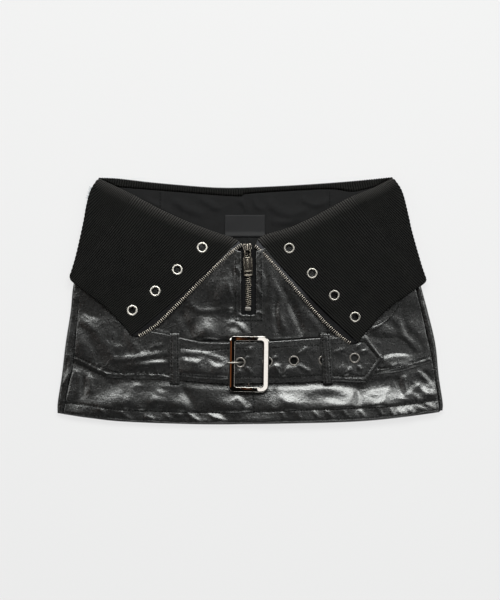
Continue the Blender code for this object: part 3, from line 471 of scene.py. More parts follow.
def distance_along(line, x, y):
    """How far each point is from a line of points, and how far along it the nearest place is, 0 to 1."""
    line = np.array(line, float)
    runs = np.linalg.norm(np.diff(line, axis=0), axis=1)
    passed = np.concatenate([[0], np.cumsum(runs)])
    nearest = np.full(np.shape(x), np.inf)
    along = np.zeros(np.shape(x))
    for (ax, ay), (bx, by), run, start in zip(line, line[1:], runs, passed):
        share = ((x - ax) * (bx - ax) + (y - ay) * (by - ay)) / run**2
        inside = np.clip(share, 0, 1)
        away = np.hypot(x - ax - inside * (bx - ax), y - ay - inside * (by - ay))
        closer = away < nearest
        nearest = np.where(closer, away, nearest)
        along = np.where(closer, (start + inside * run) / passed[-1], along)
    return nearest, along


def creased(creases, x, y):
    """The height that listed creases add: each fades out towards its ends."""
    total = 0.0 * x
    for height, width, line in creases:
        near = (x > min(p[0] for p in line) - 3 * width) & (x < max(p[0] for p in line) + 3 * width)
        near &= (y > min(p[1] for p in line) - 3 * width) & (y < max(p[1] for p in line) + 3 * width)
        if not near.any():
            continue
        smooth = path(line)(np.linspace(0, 1, 12))
        away, along = distance_along(smooth, x[near], y[near])
        fade = 0.25 + 0.75 * np.sqrt(np.clip(4 * along * (1 - along), 0, 1))
        total[near] += height * fade * np.exp(-((away / width) ** 2))
    return total


def puckered(line, x, y, pitch, height, reach, seed):
    """Small ridges that cross a row of stitches, and the groove that the row pulls into the leather."""
    chance = np.random.default_rng(seed)
    count = int(length_of(line) / pitch)
    smooth = path(line)
    marks = []
    for share in (np.arange(count) + 0.5 + chance.uniform(-0.3, 0.3, count)) / count:
        middle = smooth(share)
        turn = math.radians(chance.uniform(35, 145))
        run = reach * chance.uniform(0.5, 1.0)
        across = np.array([math.cos(turn), math.sin(turn)]) * run / 2
        tall = height * chance.uniform(0.4, 1.0)
        marks.append((tall, 1.5, [tuple(middle - across), tuple(middle + across)]))
    away, _ = distance_along(smooth(np.linspace(0, 1, 60)), x, y)
    return creased(marks, x, y) - 0.45 * np.exp(-((away / 1.3) ** 2))


# Meshes
# ------


def keep(name, mesh, finish):
    """Links a finished mesh as the piece of that name."""
    piece = bpy.data.objects.new(name, mesh)
    mesh.materials.clear()
    mesh.materials.append(finish)
    bpy.context.scene.collection.objects.link(piece)
    return piece


def solid_mesh(name, points, faces, attributes=None, smooth=True):
    """A closed mesh in metres from points in mm, with its faces turned outwards."""
    mesh = bpy.data.meshes.new(name)
    mesh.from_pydata((np.asarray(points) * MM).tolist(), [], faces)
    for label, values in (attributes or {}).items():
        layer = mesh.attributes.new(label, "FLOAT", "POINT")
        layer.data.foreach_set("value", np.asarray(values, np.float32))
    shape = bmesh.new()
    shape.from_mesh(mesh)
    if shape.calc_volume(signed=True) < 0:
        bmesh.ops.reverse_faces(shape, faces=shape.faces)
    shape.to_mesh(mesh)
    shape.free()
    mesh.polygons.foreach_set("use_smooth", [smooth] * len(mesh.polygons))
    return mesh


def joined(name, meshes):
    """One mesh made of several, in their order."""
    shape = bmesh.new()
    for mesh in meshes:
        shape.from_mesh(mesh)
        bpy.data.meshes.remove(mesh)
    whole = bpy.data.meshes.new(name)
    shape.to_mesh(whole)
    shape.free()
    return whole


def shell_mesh(name, over, under, kept=None, attributes=None):
    """A closed mesh between two equal grids of points. Cells that aren't kept are left open."""
    rows, columns = over.shape[:2]
    count = rows * columns
    if kept is None:
        kept = np.ones((rows - 1, columns - 1), bool)
    i, j = np.nonzero(kept)
    first = i * columns + j
    tops = np.stack([first, first + 1, first + columns + 1, first + columns], axis=1)
    faces = tops.tolist() + (tops[:, ::-1] + count).tolist()
    ahead = {(a, b) for face in tops.tolist() for a, b in zip(face, face[1:] + face[:1])}
    for a, b in ahead:
        if (b, a) not in ahead:
            faces.append([b, a, a + count, b + count])
    used = np.unique(np.array(faces).ravel())
    place = np.full(2 * count, -1)
    place[used] = np.arange(len(used))
    faces = place[np.array(faces)].tolist()
    points = np.concatenate([over.reshape(-1, 3), under.reshape(-1, 3)])[used]
    picked = {}
    for label, values in (attributes or {}).items():
        both = np.concatenate([values.ravel(), np.zeros(count)])
        picked[label] = both[used]
    return solid_mesh(name, points, faces, picked)


def edge_drop(rows, columns, sides=(True, True, True, True)):
    """How much of the thickness each point of a grid loses near the edges: foot, top, left, right."""
    down, across = np.zeros(rows), np.zeros(columns)
    for k, drop in enumerate(EDGE_DROP):
        for table, index, wanted in ((down, k, sides[0]), (down, -1 - k, sides[1]),
                                     (across, k, sides[2]), (across, -1 - k, sides[3])):
            if wanted:
                table[index] = drop
    return np.maximum(down[:, None], across[None, :])


def cloth(name, spread, top, thickness, finish, kept=None, sides=(True, True, True, True), attributes=None):
    """A cloth piece whose outer side lies at top(x, y) over the grid of X, Y."""
    x, y = spread[..., 0], spread[..., 1]
    z = top(x, y)
    drop = edge_drop(*x.shape, sides) * thickness
    over = np.stack([x, y, z - drop], axis=-1)
    under = np.stack([x, y, z - thickness + drop], axis=-1)
    return keep(name, with_crisp_walls(shell_mesh(name, over, under, kept, attributes)), finish)


def with_crisp_walls(mesh):
    """Leaves the faces that turn down round a cut edge flat, so that the edge doesn't blur into the cloth."""
    normals = np.empty(3 * len(mesh.polygons))
    mesh.polygons.foreach_get("normal", normals)
    mesh.polygons.foreach_set("use_smooth", (np.abs(normals[2::3]) > FLAT_WALL).tolist())
    return mesh


def surface_of(piece):
    """The piece's surface, for setting things down on it."""
    mesh = piece.data
    return BVHTree.FromPolygons([v.co for v in mesh.vertices], [tuple(p.vertices) for p in mesh.polygons])


def set_down(surface, line, clearance=0.0):
    """Lifts points of X, Y in mm onto a surface, and leaves out those that miss it."""
    found = []
    for x, y in line:
        hit = surface.ray_cast(Vector((x * MM, y * MM, 0.1)), Vector((0, 0, -1)))[0]
        if hit:
            found.append((x, y, hit.z / MM + clearance))
    return found


# Node trees
# ----------


def add(tree, kind, inputs=None, **settings):
    """Adds a node with its settings. Each input takes a value or another node's output."""
    made = tree.nodes.new(kind)
    for setting, value in settings.items():
        setattr(made, setting, value)
    for key, value in (inputs or {}).items():
        if isinstance(value, bpy.types.NodeSocket):
            tree.links.new(value, made.inputs[key])
        else:
            made.inputs[key].default_value = value
    return made


def calculate(tree, operation, *values):
    """The result of a Math node on up to three values, each a number or another node's output."""
    return add(tree, "ShaderNodeMath", dict(enumerate(values)), operation=operation).outputs[0]


def mapped(tree, value, low, high, to_low=0.0, to_high=1.0):
    """Spreads a value's range from low to high over another, and holds it at its ends."""
    inputs = {"Value": value, "From Min": low, "From Max": high, "To Min": to_low, "To Max": to_high}
    return add(tree, "ShaderNodeMapRange", inputs).outputs["Result"]


def noise(tree, place, scale, **more):
    """Soft random patches from 0 to 1, about so many to a metre."""
    return add(tree, "ShaderNodeTexNoise", {"Vector": place, "Scale": scale, **more}).outputs["Fac"]


def linear(code):
    """An sRGB hex colour as linear RGBA."""
    parts = [int(code[k:k + 2], 16) / 255 for k in (1, 3, 5)]
    return (*(p / 12.92 if p <= 0.04045 else ((p + 0.055) / 1.055) ** 2.4 for p in parts), 1.0)


def tree_with_inputs(name, sockets):
    """A Geometry Nodes tree with the named inputs, each a socket type and a default."""
    tree = bpy.data.node_groups.new(name, "GeometryNodeTree")
    tree.interface.new_socket("Geometry", in_out="INPUT", socket_type="NodeSocketGeometry")
    for label, (kind, value) in sockets.items():
        socket = tree.interface.new_socket(label, in_out="INPUT", socket_type=kind)
        if value is not None:
            socket.default_value = value
    tree.interface.new_socket("Geometry", in_out="OUTPUT", socket_type="NodeSocketGeometry")
    return tree


def grown(name, mesh, tree, values, finish):
    """Runs a tree on a mesh with its inputs set, and keeps the result as a plain piece."""
    source = bpy.data.objects.new(name + "_source", mesh)
    bpy.context.scene.collection.objects.link(source)
    modifier = source.modifiers.new("grow", "NODES")
    modifier.node_group = tree
    for item in tree.interface.items_tree:
        if item.in_out == "INPUT" and item.name in values:
            modifier[item.identifier] = values[item.name]
    graph = bpy.context.evaluated_depsgraph_get()
    result = bpy.data.meshes.new_from_object(source.evaluated_get(graph))
    source.modifiers.remove(modifier)
    bpy.data.objects.remove(source)
    result.name = name
    return keep(name, result, finish)


def row_tree():
    """Sets copies of a small part along lines, turned to follow them."""
    tree = tree_with_inputs("parts_in_a_row", {
        "Part": ("NodeSocketObject", None),
        "Pitch": ("NodeSocketFloat", STITCH_PITCH * MM),
        "Turn": ("NodeSocketFloat", 0.04),
        "Seed": ("NodeSocketInt", 7),
        "Finish": ("NodeSocketMaterial", None),
    })
    given = add(tree, "NodeGroupInput").outputs
    curve = add(tree, "GeometryNodeMeshToCurve", {"Mesh": given["Geometry"]}).outputs[0]
    spaced = add(tree, "GeometryNodeResampleCurve", {"Curve": curve, "Length": given["Pitch"]}, mode="LENGTH")
    tangent = add(tree, "GeometryNodeInputTangent").outputs[0]
    facing = add(tree, "FunctionNodeAlignRotationToVector", {"Vector": tangent}, axis="X", pivot_axis="Z")
    back = calculate(tree, "MULTIPLY", given["Turn"], -1.0)
    chance = add(tree, "FunctionNodeRandomValue", {"Min": back, "Max": given["Turn"], "Seed": given["Seed"]},
                 data_type="FLOAT")
    value = next(s for s in chance.outputs if s.enabled)
    turned = add(tree, "ShaderNodeCombineXYZ", {"Z": value}).outputs[0]
    wobble = add(tree, "FunctionNodeEulerToRotation", {0: turned}).outputs[0]
    rotation = add(tree, "FunctionNodeRotateRotation", {"Rotation": facing.outputs[0], "Rotate By": wobble},
                   rotation_space="LOCAL").outputs[0]
    part = add(tree, "GeometryNodeObjectInfo", {"Object": given["Part"]}).outputs["Geometry"]
    placed = add(tree, "GeometryNodeInstanceOnPoints",
                 {"Points": spaced.outputs[0], "Instance": part, "Rotation": rotation}).outputs[0]
    real = add(tree, "GeometryNodeRealizeInstances", {"Geometry": placed}).outputs[0]
    done = add(tree, "GeometryNodeSetMaterial", {"Geometry": real, "Material": given["Finish"]}).outputs[0]
    add(tree, "NodeGroupOutput", {"Geometry": done})
    return tree


def rib_tree():
    """Raises knitted ribs on a smooth sheet whose points know their place across the ribs."""
    tree = tree_with_inputs("knitted_ribs", {
        "Rib height": ("NodeSocketFloat", RIB_HEIGHT * MM),
        "Roundness": ("NodeSocketFloat", 0.6),
        "Finish": ("NodeSocketMaterial", None),
    })
    given = add(tree, "NodeGroupInput").outputs
    across = add(tree, "GeometryNodeInputNamedAttribute", {"Name": "rib"}, data_type="FLOAT").outputs[0]
    share = add(tree, "GeometryNodeInputNamedAttribute", {"Name": "relief"}, data_type="FLOAT").outputs[0]
    part = calculate(tree, "FRACT", across)
    centred = calculate(tree, "MULTIPLY_ADD", part, 2.0, -1.0)
    square = calculate(tree, "MULTIPLY", centred, centred)
    crown = calculate(tree, "SUBTRACT", 1.0, square)
    crown = calculate(tree, "MAXIMUM", crown, 0.0)
    rounded = calculate(tree, "POWER", crown, given["Roundness"])
    height = calculate(tree, "MULTIPLY", rounded, given["Rib height"])
    height = calculate(tree, "MULTIPLY", height, share)
    normal = add(tree, "GeometryNodeInputNormal").outputs[0]
    offset = add(tree, "ShaderNodeVectorMath", {0: normal, "Scale": height}, operation="SCALE").outputs[0]
    moved = {"Geometry": given["Geometry"], "Offset": offset}
    raised = add(tree, "GeometryNodeSetPosition", moved).outputs[0]
    real = add(tree, "GeometryNodeRealizeInstances", {"Geometry": raised}).outputs[0]
    done = add(tree, "GeometryNodeSetMaterial", {"Geometry": real, "Material": given["Finish"]}).outputs[0]
    add(tree, "NodeGroupOutput", {"Geometry": done})
    return tree


def in_a_row(name, lines, part, pitch, finish, turn=0.04, seed=7):
    """A piece made of copies of a small part, set along lines of points in mm."""
    points, edges = [], []
    for line in lines:
        start = len(points)
        points += [Vector(p) * MM for p in line]
        edges += [(start + k, start + k + 1) for k in range(len(line) - 1)]
    mesh = bpy.data.meshes.new(name + "_lines")
    mesh.from_pydata(points, edges, [])
    helper = bpy.data.objects.new(name + "_part", part)
    bpy.context.scene.collection.objects.link(helper)
    values = {"Part": helper, "Pitch": pitch * MM, "Turn": turn, "Seed": seed, "Finish": finish}
    piece = grown(name, mesh, ROWS, values, finish)
    bpy.data.objects.remove(helper)
    return piece


def thread_mesh(length, thick):
    """One stitch: a short thread that rises out of the leather and dips back in, six sided."""
    sections = []
    for share in (-0.5, -0.44, -0.25, 0.25, 0.44, 0.5):
        round_off = math.sqrt(max(0.06, 1 - (2 * share) ** 6))
        z = thick * (0.55 * (1 - (2 * share) ** 2) - 0.25)
        ring = []
        for k in range(6):
            angle = math.radians(60 * k)
            radius = thick / 2 * round_off
            ring.append((share * length, radius * math.cos(angle), z + radius * math.sin(angle)))
        sections.append(ring)
    return tube_mesh("stitch", np.array(sections))


def tube_mesh(name, sections, closed=False, smooth=True):
    """A closed mesh through rings of points, with a face over each end unless it closes on itself."""
    count, around = sections.shape[:2]
    faces = []
    for i in range(count if closed else count - 1):
        for k in range(around):
            a, b = i * around + k, i * around + (k + 1) % around
            c, d = ((i + 1) % count) * around + (k + 1) % around, ((i + 1) % count) * around + k
            faces.append([a, b, c, d])
    if not closed:
        faces += [list(range(around))[::-1], [(count - 1) * around + k for k in range(around)]]
    return solid_mesh(name, sections.reshape(-1, 3), faces, smooth=smooth)


ROWS = row_tree()
RIBS = rib_tree()


# Finishes
# --------


def finish_named(name, colour, roughness, metallic=0.0, **more):
    """A new material with its own numbers on the shader. Gives the material, its tree and the shader."""
    made = bpy.data.materials.new(name)
    made.use_nodes = True
    tree = made.node_tree
    shader = tree.nodes["Principled BSDF"]
    shader.inputs["Base Color"].default_value = linear(colour)
    shader.inputs["Roughness"].default_value = roughness
    shader.inputs["Metallic"].default_value = metallic
    for label, value in more.items():
        shader.inputs[label.replace("_", " ")].default_value = value
    made.diffuse_color = linear(colour)
    return made, tree, shader


def bump(tree, height, distance, strength=1.0, under=None):
    """A bump of a height from 0 to 1, whose full height is a distance in mm."""
    inputs = {"Height": height, "Distance": distance * MM, "Strength": strength}
    if under is not None:
        inputs["Normal"] = under
    return add(tree, "ShaderNodeBump", inputs).outputs[0]


def socket_of(node, label):
    """The input of that name that the node's kind of data uses."""
    return next(socket for socket in node.inputs if socket.name == label and socket.enabled)


def mixed_colour(tree, share, first, second):
    """Mixes two colours, each an sRGB code or another node's output."""
    made = add(tree, "ShaderNodeMix", {"Factor": share}, data_type="RGBA")
    for label, code in (("A", first), ("B", second)):
        if isinstance(code, str):
            socket_of(made, label).default_value = linear(code)
        else:
            tree.links.new(code, socket_of(made, label))
    return next(socket for socket in made.outputs if socket.enabled)


def coated_leather():
    """Faux leather: a knitted backing coated with black polyurethane and embossed with a pebble grain.
    The soft coat gives broad satin highlights that the grain breaks into specks."""
    made, tree, shader = finish_named("coated_leather", "#0b0b0c", 0.34, Coat_Weight=0.08, Coat_Roughness=0.2)
    place = add(tree, "ShaderNodeTexCoord").outputs["Object"]
    # the real pebbles are about 0.4 mm, drawn at 1.1 by 2.4 mm to show
    drawn = add(tree, "ShaderNodeMapping", {"Vector": place, "Scale": (900.0, 420.0, 900.0)}).outputs[0]
    pebbles = add(tree, "ShaderNodeTexVoronoi", {"Vector": drawn, "Scale": 1.0}, feature="F1")
    grain = pebbles.outputs["Distance"]
    # drawn wrinkles between the pebbles, 2.5 mm apart
    wrinkle = noise(tree, place, 400.0, Detail=3.0, Roughness=0.7, Distortion=0.8)
    soft = noise(tree, place, 95.0, Detail=2.0, Roughness=0.55, Distortion=0.8)
    normal = bump(tree, soft, 0.45)
    normal = bump(tree, wrinkle, 0.24, under=normal)
    normal = bump(tree, grain, 0.06, under=normal)
    tree.links.new(normal, shader.inputs["Normal"])
    worn = mapped(tree, wrinkle, 0.3, 0.7, 0.34, 0.24)
    tree.links.new(worn, shader.inputs["Roughness"])
    colour = mixed_colour(tree, soft, "#070707", "#0b0b0b")
    tree.links.new(colour, shader.inputs["Base Color"])
    return made


def rib_knit():
    """Ribbed jersey of black wool-like acrylic, knitted on two beds: matt, with a faint bloom of fibres."""
    made, tree, shader = finish_named("rib_knit", "#0c0c0d", 0.95, Specular_IOR_Level=0.01)
    along = add(tree, "ShaderNodeAttribute", attribute_name="along").outputs["Fac"]
    rib = add(tree, "ShaderNodeAttribute", attribute_name="rib").outputs["Fac"]
    part = calculate(tree, "FRACT", rib)
    lean = calculate(tree, "SUBTRACT", part, 0.5)
    lean = calculate(tree, "ABSOLUTE", lean)
    # the V of each stitch, 1.6 mm along the rib
    climb = calculate(tree, "MULTIPLY", along, 1 / 1.6)
    climb = calculate(tree, "MULTIPLY_ADD", lean, 1.6, climb)
    wave = calculate(tree, "MULTIPLY", climb, 2 * math.pi)
    wave = calculate(tree, "SINE", wave)
    place = add(tree, "ShaderNodeTexCoord").outputs["Object"]
    fibre = noise(tree, place, 1500.0, Detail=2.0)
    normal = bump(tree, wave, 0.12)
    normal = bump(tree, fibre, 0.12, under=normal)
    tree.links.new(normal, shader.inputs["Normal"])
    worn = noise(tree, place, 60.0, Detail=4.0)
    # the purl wales between the ribs are painted near-black: painted shade in the grooves
    painted_wale_shade = mapped(tree, lean, 0.18, 0.46)
    crown = mixed_colour(tree, worn, "#101010", "#171716")
    # the ribs' crowns are painted lighter near the collar's turn: a painted highlight where the curve catches
    # the light
    turn = mapped(tree, along, 14.0, 0.5)
    crown = mixed_colour(tree, turn, crown, "#2b2a29")
    tree.links.new(mixed_colour(tree, painted_wale_shade, crown, "#020202"), shader.inputs["Base Color"])
    return made


def plain_cloth(name, colour, other, thread, roughness=0.85, sheen=0.1, gloss=0.05, lighter=None):
    """A close plain weave: matt, its threads drawn coarser than real, 0.63 times `thread` mm apart."""
    made, tree, shader = finish_named(name, colour, roughness, Sheen_Weight=sheen, Sheen_Roughness=0.5,
                                      Specular_IOR_Level=gloss)
    place = add(tree, "ShaderNodeTexCoord").outputs["Object"]
    bands = {"Vector": place, "Scale": 1 / (thread * MM * 6.283) * 3.14, "Distortion": 0.6}
    warp = add(tree, "ShaderNodeTexWave", bands, bands_direction="X").outputs["Fac"]
    weft = add(tree, "ShaderNodeTexWave", bands, bands_direction="Y").outputs["Fac"]
    weave = calculate(tree, "ADD", warp, weft)
    patchy = noise(tree, place, 220.0, Detail=4.0)
    normal = bump(tree, weave, 0.08)
    normal = bump(tree, patchy, 0.25, under=normal)
    tree.links.new(normal, shader.inputs["Normal"])
    colour = mixed_colour(tree, patchy, colour, other)
    if lighter:  # a lighter colour where the attribute is high: painted light
        painted_light_share = add(tree, "ShaderNodeAttribute", attribute_name="painted_light_share").outputs["Fac"]
        colour = mixed_colour(tree, painted_light_share, colour, lighter)
    tree.links.new(colour, shader.inputs["Base Color"])
    return made


def label_satin():
    """Woven satin ribbon of dark polyester: long floats that catch a soft streak across the label."""
    made, tree, shader = finish_named("label_satin", "#111114", 0.5, Specular_IOR_Level=0.08)
    place = add(tree, "ShaderNodeTexCoord").outputs["Object"]
    # floats 0.15 mm wide, drawn at 0.6 mm
    drawn = add(tree, "ShaderNodeMapping", {"Vector": place, "Scale": (300.0, 1700.0, 300.0)}).outputs[0]
    floats = noise(tree, drawn, 1.0, Detail=2.0)
    tree.links.new(bump(tree, floats, 0.06), shader.inputs["Normal"])
    tree.links.new(mixed_colour(tree, floats, "#0c0c0d", "#131314"), shader.inputs["Base Color"])
    return made


def plated_metal(name, colour, roughness, mottle, scratch=0.02):
    """Die-cast zinc with a plated finish: the casting's slight unevenness softens its reflections."""
    made, tree, shader = finish_named(name, colour, roughness, metallic=1.0)
    place = add(tree, "ShaderNodeTexCoord").outputs["Object"]
    cloudy = noise(tree, place, 420.0, Detail=3.0)
    worn = mapped(tree, cloudy, 0.3, 0.7, roughness * 0.8, roughness * 1.3)
    tree.links.new(worn, shader.inputs["Roughness"])
    tree.links.new(bump(tree, cloudy, scratch), shader.inputs["Normal"])
    tree.links.new(mixed_colour(tree, cloudy, colour, mottle), shader.inputs["Base Color"])
    return made


def sewing_thread():
    """Twisted black polyester thread: matt, and darker than the glossy coat it is sewn in."""
    made, tree, shader = finish_named("sewing_thread", "#030303", 0.9, Specular_IOR_Level=0.02)
    place = add(tree, "ShaderNodeTexCoord").outputs["Object"]
    twist = noise(tree, place, 2500.0)
    tree.links.new(bump(tree, twist, 0.05), shader.inputs["Normal"])
    return made


COATED_LEATHER = coated_leather()
RIB_KNIT = rib_knit()
FACING_CLOTH = plain_cloth("facing_cloth", "#090909", "#0d0d0e", 1.3, roughness=0.7, sheen=0.02, gloss=0.06)
LINING_JERSEY = plain_cloth("lining_jersey", "#161618", "#1d1d20", 1.2)
# the tapes are painted lighter near their top: painted light
TAPE_TWILL = plain_cloth("zip_tape", "#070708", "#0d0d0e", 1.5, roughness=0.7, sheen=0.0, lighter="#28282a")
TAPE_INNER = plain_cloth("zip_tape_in_shade", "#060607", "#0b0b0c", 1.5, sheen=0.0)
# matt near-black backing for the under strap: partly the backing's own black, partly painted shade that
# darkens the belt's eyelet holes
BACKING_AND_HOLE_SHADE = plain_cloth("leather_backing_and_hole_shade", "#040404", "#070707", 1.2, sheen=0.0)
LABEL_SATIN = label_satin()
NICKEL = plated_metal("nickel_plate", "#a5a29d", 0.46, "#96928c", scratch=0.004)
AGED_NICKEL = plated_metal("aged_nickel", "#968f87", 0.36, "#6d675f", scratch=0.008)
GUNMETAL = plated_metal("gunmetal_plate", "#8f8b87", 0.05, "#83807b", scratch=0.0)
# the prong's grey nickel, also used on the right collar's eyelets as a greyer copy of the left ones' nickel:
# painted shade
PRONG_AND_SHADED_EYELET_NICKEL = plated_metal("prong_nickel_and_shaded_eyelets", "#827f7a", 0.42, "#716e69", scratch=0.006)
# a darker copy of the zip's nickel for the pull tab's body under its ribs: painted shade
SHADED_TAB_NICKEL = plated_metal("tab_nickel_painted_shade", "#4d4944", 0.3, "#3a3632", scratch=0.006)
# a darker copy of the zip's nickel for the slider's body under its lighter ribs: painted shade
SHADED_SLIDER_NICKEL = plated_metal("slider_nickel_painted_shade", "#2f2c29", 0.3, "#242220", scratch=0.006)
DARK_NICKEL = plated_metal("dark_nickel_plate", "#64615e", 0.42, "#53504d", scratch=0.006)
WORN_NICKEL = plated_metal("worn_nickel", "#6d6860", 0.24, "#544f48", scratch=0.006)
THREAD = sewing_thread()
FRAYED_THREAD = plain_cloth("frayed_thread", "#5b6468", "#788287", 1.2, sheen=0.2)


# The leather
# -----------

surfaces = {}


def front_top(x, y):
    """The height of the fronts' outer side."""
    below = np.interp(x, *np.array(COVER_FOOT).T) - y
    above = y - np.interp(x, *np.array(COVER_TOP).T)
    mask = np.maximum(ease((below - 1) / 9), ease((above - 0.5) / 5))
    fine = 0.15 * crumple(x, y, 19, 31) + 0.5 * unevenness(x, y, 24, 5) + 0.8 * unevenness(x, y, 52, 6)
    relief = creased(FRONT_CREASES, x, y) + fine
    by_zip = ease((x + 45) / 15) * ease((45 - x) / 15)
    relief = relief * (1 - by_zip * (0.25 * ease((y + 2) / 20) + 0.65 * ease((y - 34) / 14)))
    hem = puckered(HEM_STITCH, x, y, 15, 0.35, 12, 3) + hem_band(x, y)
    for column in (-14.8, 11.2):
        hem = hem + puckered([(column, 62), (column, -20)], x, y, 8, 0.5, 11, 21)
    band = 0.35 * ease((x + 18.6) / 0.8) * ease((15.2 - x) / 0.8) * ease((y + 24.4) / 0.8)
    over_zip = 2.4 * np.clip((y + 15) / 75, 0, 1) * ease((x + 48) / 24) * ease((44 - x) / 24)
    hem = hem + ease((-97 - y) / 32) * (1.5 + 1.9 * ease((x + 10) / 40))
    return FRONT_Z + LEATHER + lift(y) + (swell(FRONT_FOLDS, x, y) + relief + hem) * mask + band + over_zip


def hem_band(x, y):
    """The turned-up hem: it swells below its row of stitches and rolls over at the foot."""
    stitch = np.interp(x, *np.array(HEM_STITCH).T)
    foot = np.interp(x, *np.array(HEM).T)
    share = (stitch - y) / (stitch - foot)
    uneven = 0.75 + 0.35 * unevenness(x, 0 * x, 23, 17) + 0.2 * ease(x / 60)
    return 1.9 * uneven * ease(share / 0.8) * ease((1 - share) / 0.16)


def fronts():
    """Both halves of the front, each with half of the zip's window left open."""
    x0, y0, x1, _ = WINDOW
    for side, seam, foot, top in (("left", SEAM_LEFT, HEM_LEFT, FRONT_TOP_LEFT),
                                  ("right", SEAM_RIGHT, HEM_RIGHT, FRONT_TOP_RIGHT[::-1])):
        us, vs = steps(230, 1.55), steps(285, 1.55)
        if side == "left":
            spread = patch(foot, top, seam, CENTRE_FRONT, us, vs)
            spread[..., 0] -= 0.25 * us[None, :] ** 40
        else:
            spread = patch(foot, top, CENTRE_FRONT, seam, us, vs)
            spread[..., 0] += 0.25 * (1 - us[None, :]) ** 40
        edge = x0 if side == "left" else x1
        above = spread[..., 1] > y0
        for row in range(len(vs)):
            if above[row].any():
                column = int(np.argmin(np.abs(spread[row, :, 0] - edge)))
                spread[row, column, 0] = edge
        middle = (spread[1:, 1:] + spread[:-1, :-1] + spread[1:, :-1] + spread[:-1, 1:]) / 4
        inside = (middle[..., 0] > x0) & (middle[..., 0] < x1) & (middle[..., 1] > y0)
        sides = (True, True, side == "left", side == "right")
        piece = cloth(f"front_{side}_leather", spread, front_top, LEATHER, COATED_LEATHER, kept=~inside,
                      sides=sides)
        surfaces[f"front_{side}"] = surface_of(piece)
        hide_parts(f"front_{side}")
        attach(piece, "garment")


def back():
    """The back of the skirt: it lies on the ground, and both of its sides turn up and over to the front."""
    vs = steps(285, 1.7)
    half = (FRONT_Z + LEATHER) / 2
    left_seam, right_seam = path(SEAM_LEFT)(vs), path(SEAM_RIGHT)(vs)
    us = np.linspace(0.012, 0.988, 150)
    inner = patch(HEM, BACK_TOP, SKIRT_LEFT, SKIRT_RIGHT, np.concatenate([[0], us, [1]]), vs)
    sections = {}
    for inset in (0.0, LEATHER):
        rows = []
        turn = half - inset
        for k in range(len(vs)):
            parts = []
            for seam, edge, inward in ((left_seam[k], inner[k, 0], 1), (right_seam[k], inner[k, -1], -1)):
                base = lift(edge[1]) + half
                start = np.array([seam[0] - inward * GAP, seam[1]])
                crown = np.array([edge[0] + inward * half, edge[1]])
                width = np.linalg.norm(crown - start)
                shares = np.concatenate([[0, min(0.5 / width, 0.1), min(1.2 / width, 0.2)],
                                         np.linspace(min(2.4 / width, 0.35), 1, 9)])
                flat = start + (crown - start) * shares[:, None]
                low = np.zeros(len(shares))
                if inset == 0.0:
                    relief = creased(SIDE_CREASES, flat[:, 0], flat[:, 1])
                    relief += 0.5 * crumple(flat[:, 0], flat[:, 1], 11, 77)
                    seam_dip = 0.7 * np.exp(-((shares * width / 1.0) ** 2))
                    low = relief * ease(shares * width / 3) - seam_dip
                strip = np.column_stack([flat, base + turn + low])
                arc = []
                for angle in np.radians(np.linspace(90, 250, 11))[1:]:
                    reach = half + turn * math.cos(angle)
                    arc.append((edge[0] + inward * reach, edge[1], base + turn * math.sin(angle)))
                parts.append(np.vstack([strip, arc]))
            floor = inner[k, 1:-1]
            z = lift(floor[:, 1]) + inset
            if inset == 0.0:
                z = z + 0.35 * crumple(floor[:, 0], floor[:, 1], 15, 55) * ease((floor[:, 0] + 232) / 12)
            floor = np.column_stack([floor, z])
            rows.append(np.vstack([parts[0], floor, parts[1][::-1]]))
        sections[inset] = np.array(rows)
    piece = keep("back_leather", shell_mesh("back_leather", sections[0.0], sections[LEATHER]), COATED_LEATHER)
    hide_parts("back_panel")
    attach(piece, "garment")


def side_tabs():
    """The two wide tabs that run in from the side seams and narrow to the belt."""
    shapes = {
        "left": (TAB_LEFT_FOOT, TAB_LEFT_TOP, [TAB_LEFT_FOOT[0], (-210.5, -25), TAB_LEFT_TOP[0]],
                 [TAB_LEFT_FOOT[-1], TAB_LEFT_TOP[-1]], TAB_LEFT_FOLDS, TAB_LEFT_CREASES),
        "right": (TAB_RIGHT_FOOT, TAB_RIGHT_TOP, [TAB_RIGHT_FOOT[0], TAB_RIGHT_TOP[0]],
                  [TAB_RIGHT_FOOT[-1], (212.5, -30), TAB_RIGHT_TOP[-1]], TAB_RIGHT_FOLDS, TAB_RIGHT_CREASES),
    }
    for side, (foot, top, left, right, folds, creases) in shapes.items():
        spread = patch(foot, top, left, right, steps(125, 1.35), steps(80, 1.2))
        inset = np.array([(x, y + 7) for x, y in foot])

        def height(x, y):
            relief = swell(folds, x, y) + creased(creases, x, y)
            relief = relief + 0.15 * crumple(x, y, 18, 91) + 0.5 * unevenness(x, y, 22, 9)
            relief = relief + 0.9 * unevenness(x, y, 45, 10)
            relief = relief + puckered(inset, x, y, 9, 0.7, 7, 13)
            away, _ = distance_along(path(foot)(np.linspace(0, 1, 80)), x, y)
            relief = relief * ease((away - 1) / 4) + 0.5 * np.exp(-(((away - 3) / 2) ** 2))
            return TAB_Z + TAB + lift(y) + np.maximum(relief, -0.2)

        piece = cloth(f"flap_{side}_leather", spread, height, TAB, COATED_LEATHER)
        surfaces[f"flap_{side}"] = surface_of(piece)
        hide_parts(f"flap_{side}")
        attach(piece, "garment")


def holed(spread, centres, radius):
    """The cells of a grid whose middles are clear of the holes."""
    middle = (spread[1:, 1:] + spread[:-1, :-1] + spread[1:, :-1] + spread[:-1, 1:]) / 4
    kept = np.ones(middle.shape[:2], bool)
    for x, y in centres:
        kept &= np.hypot(middle[..., 0] - x, middle[..., 1] - y) > radius
    return kept


def belt_level(x):
    """The height of the belt's underside."""
    rise = np.array(BELT_RISE)
    soft = [np.interp(x + shift, rise[:, 0], rise[:, 1]) for shift in (-4, -2, 0, 2, 4)]
    return sum(soft) / len(soft)


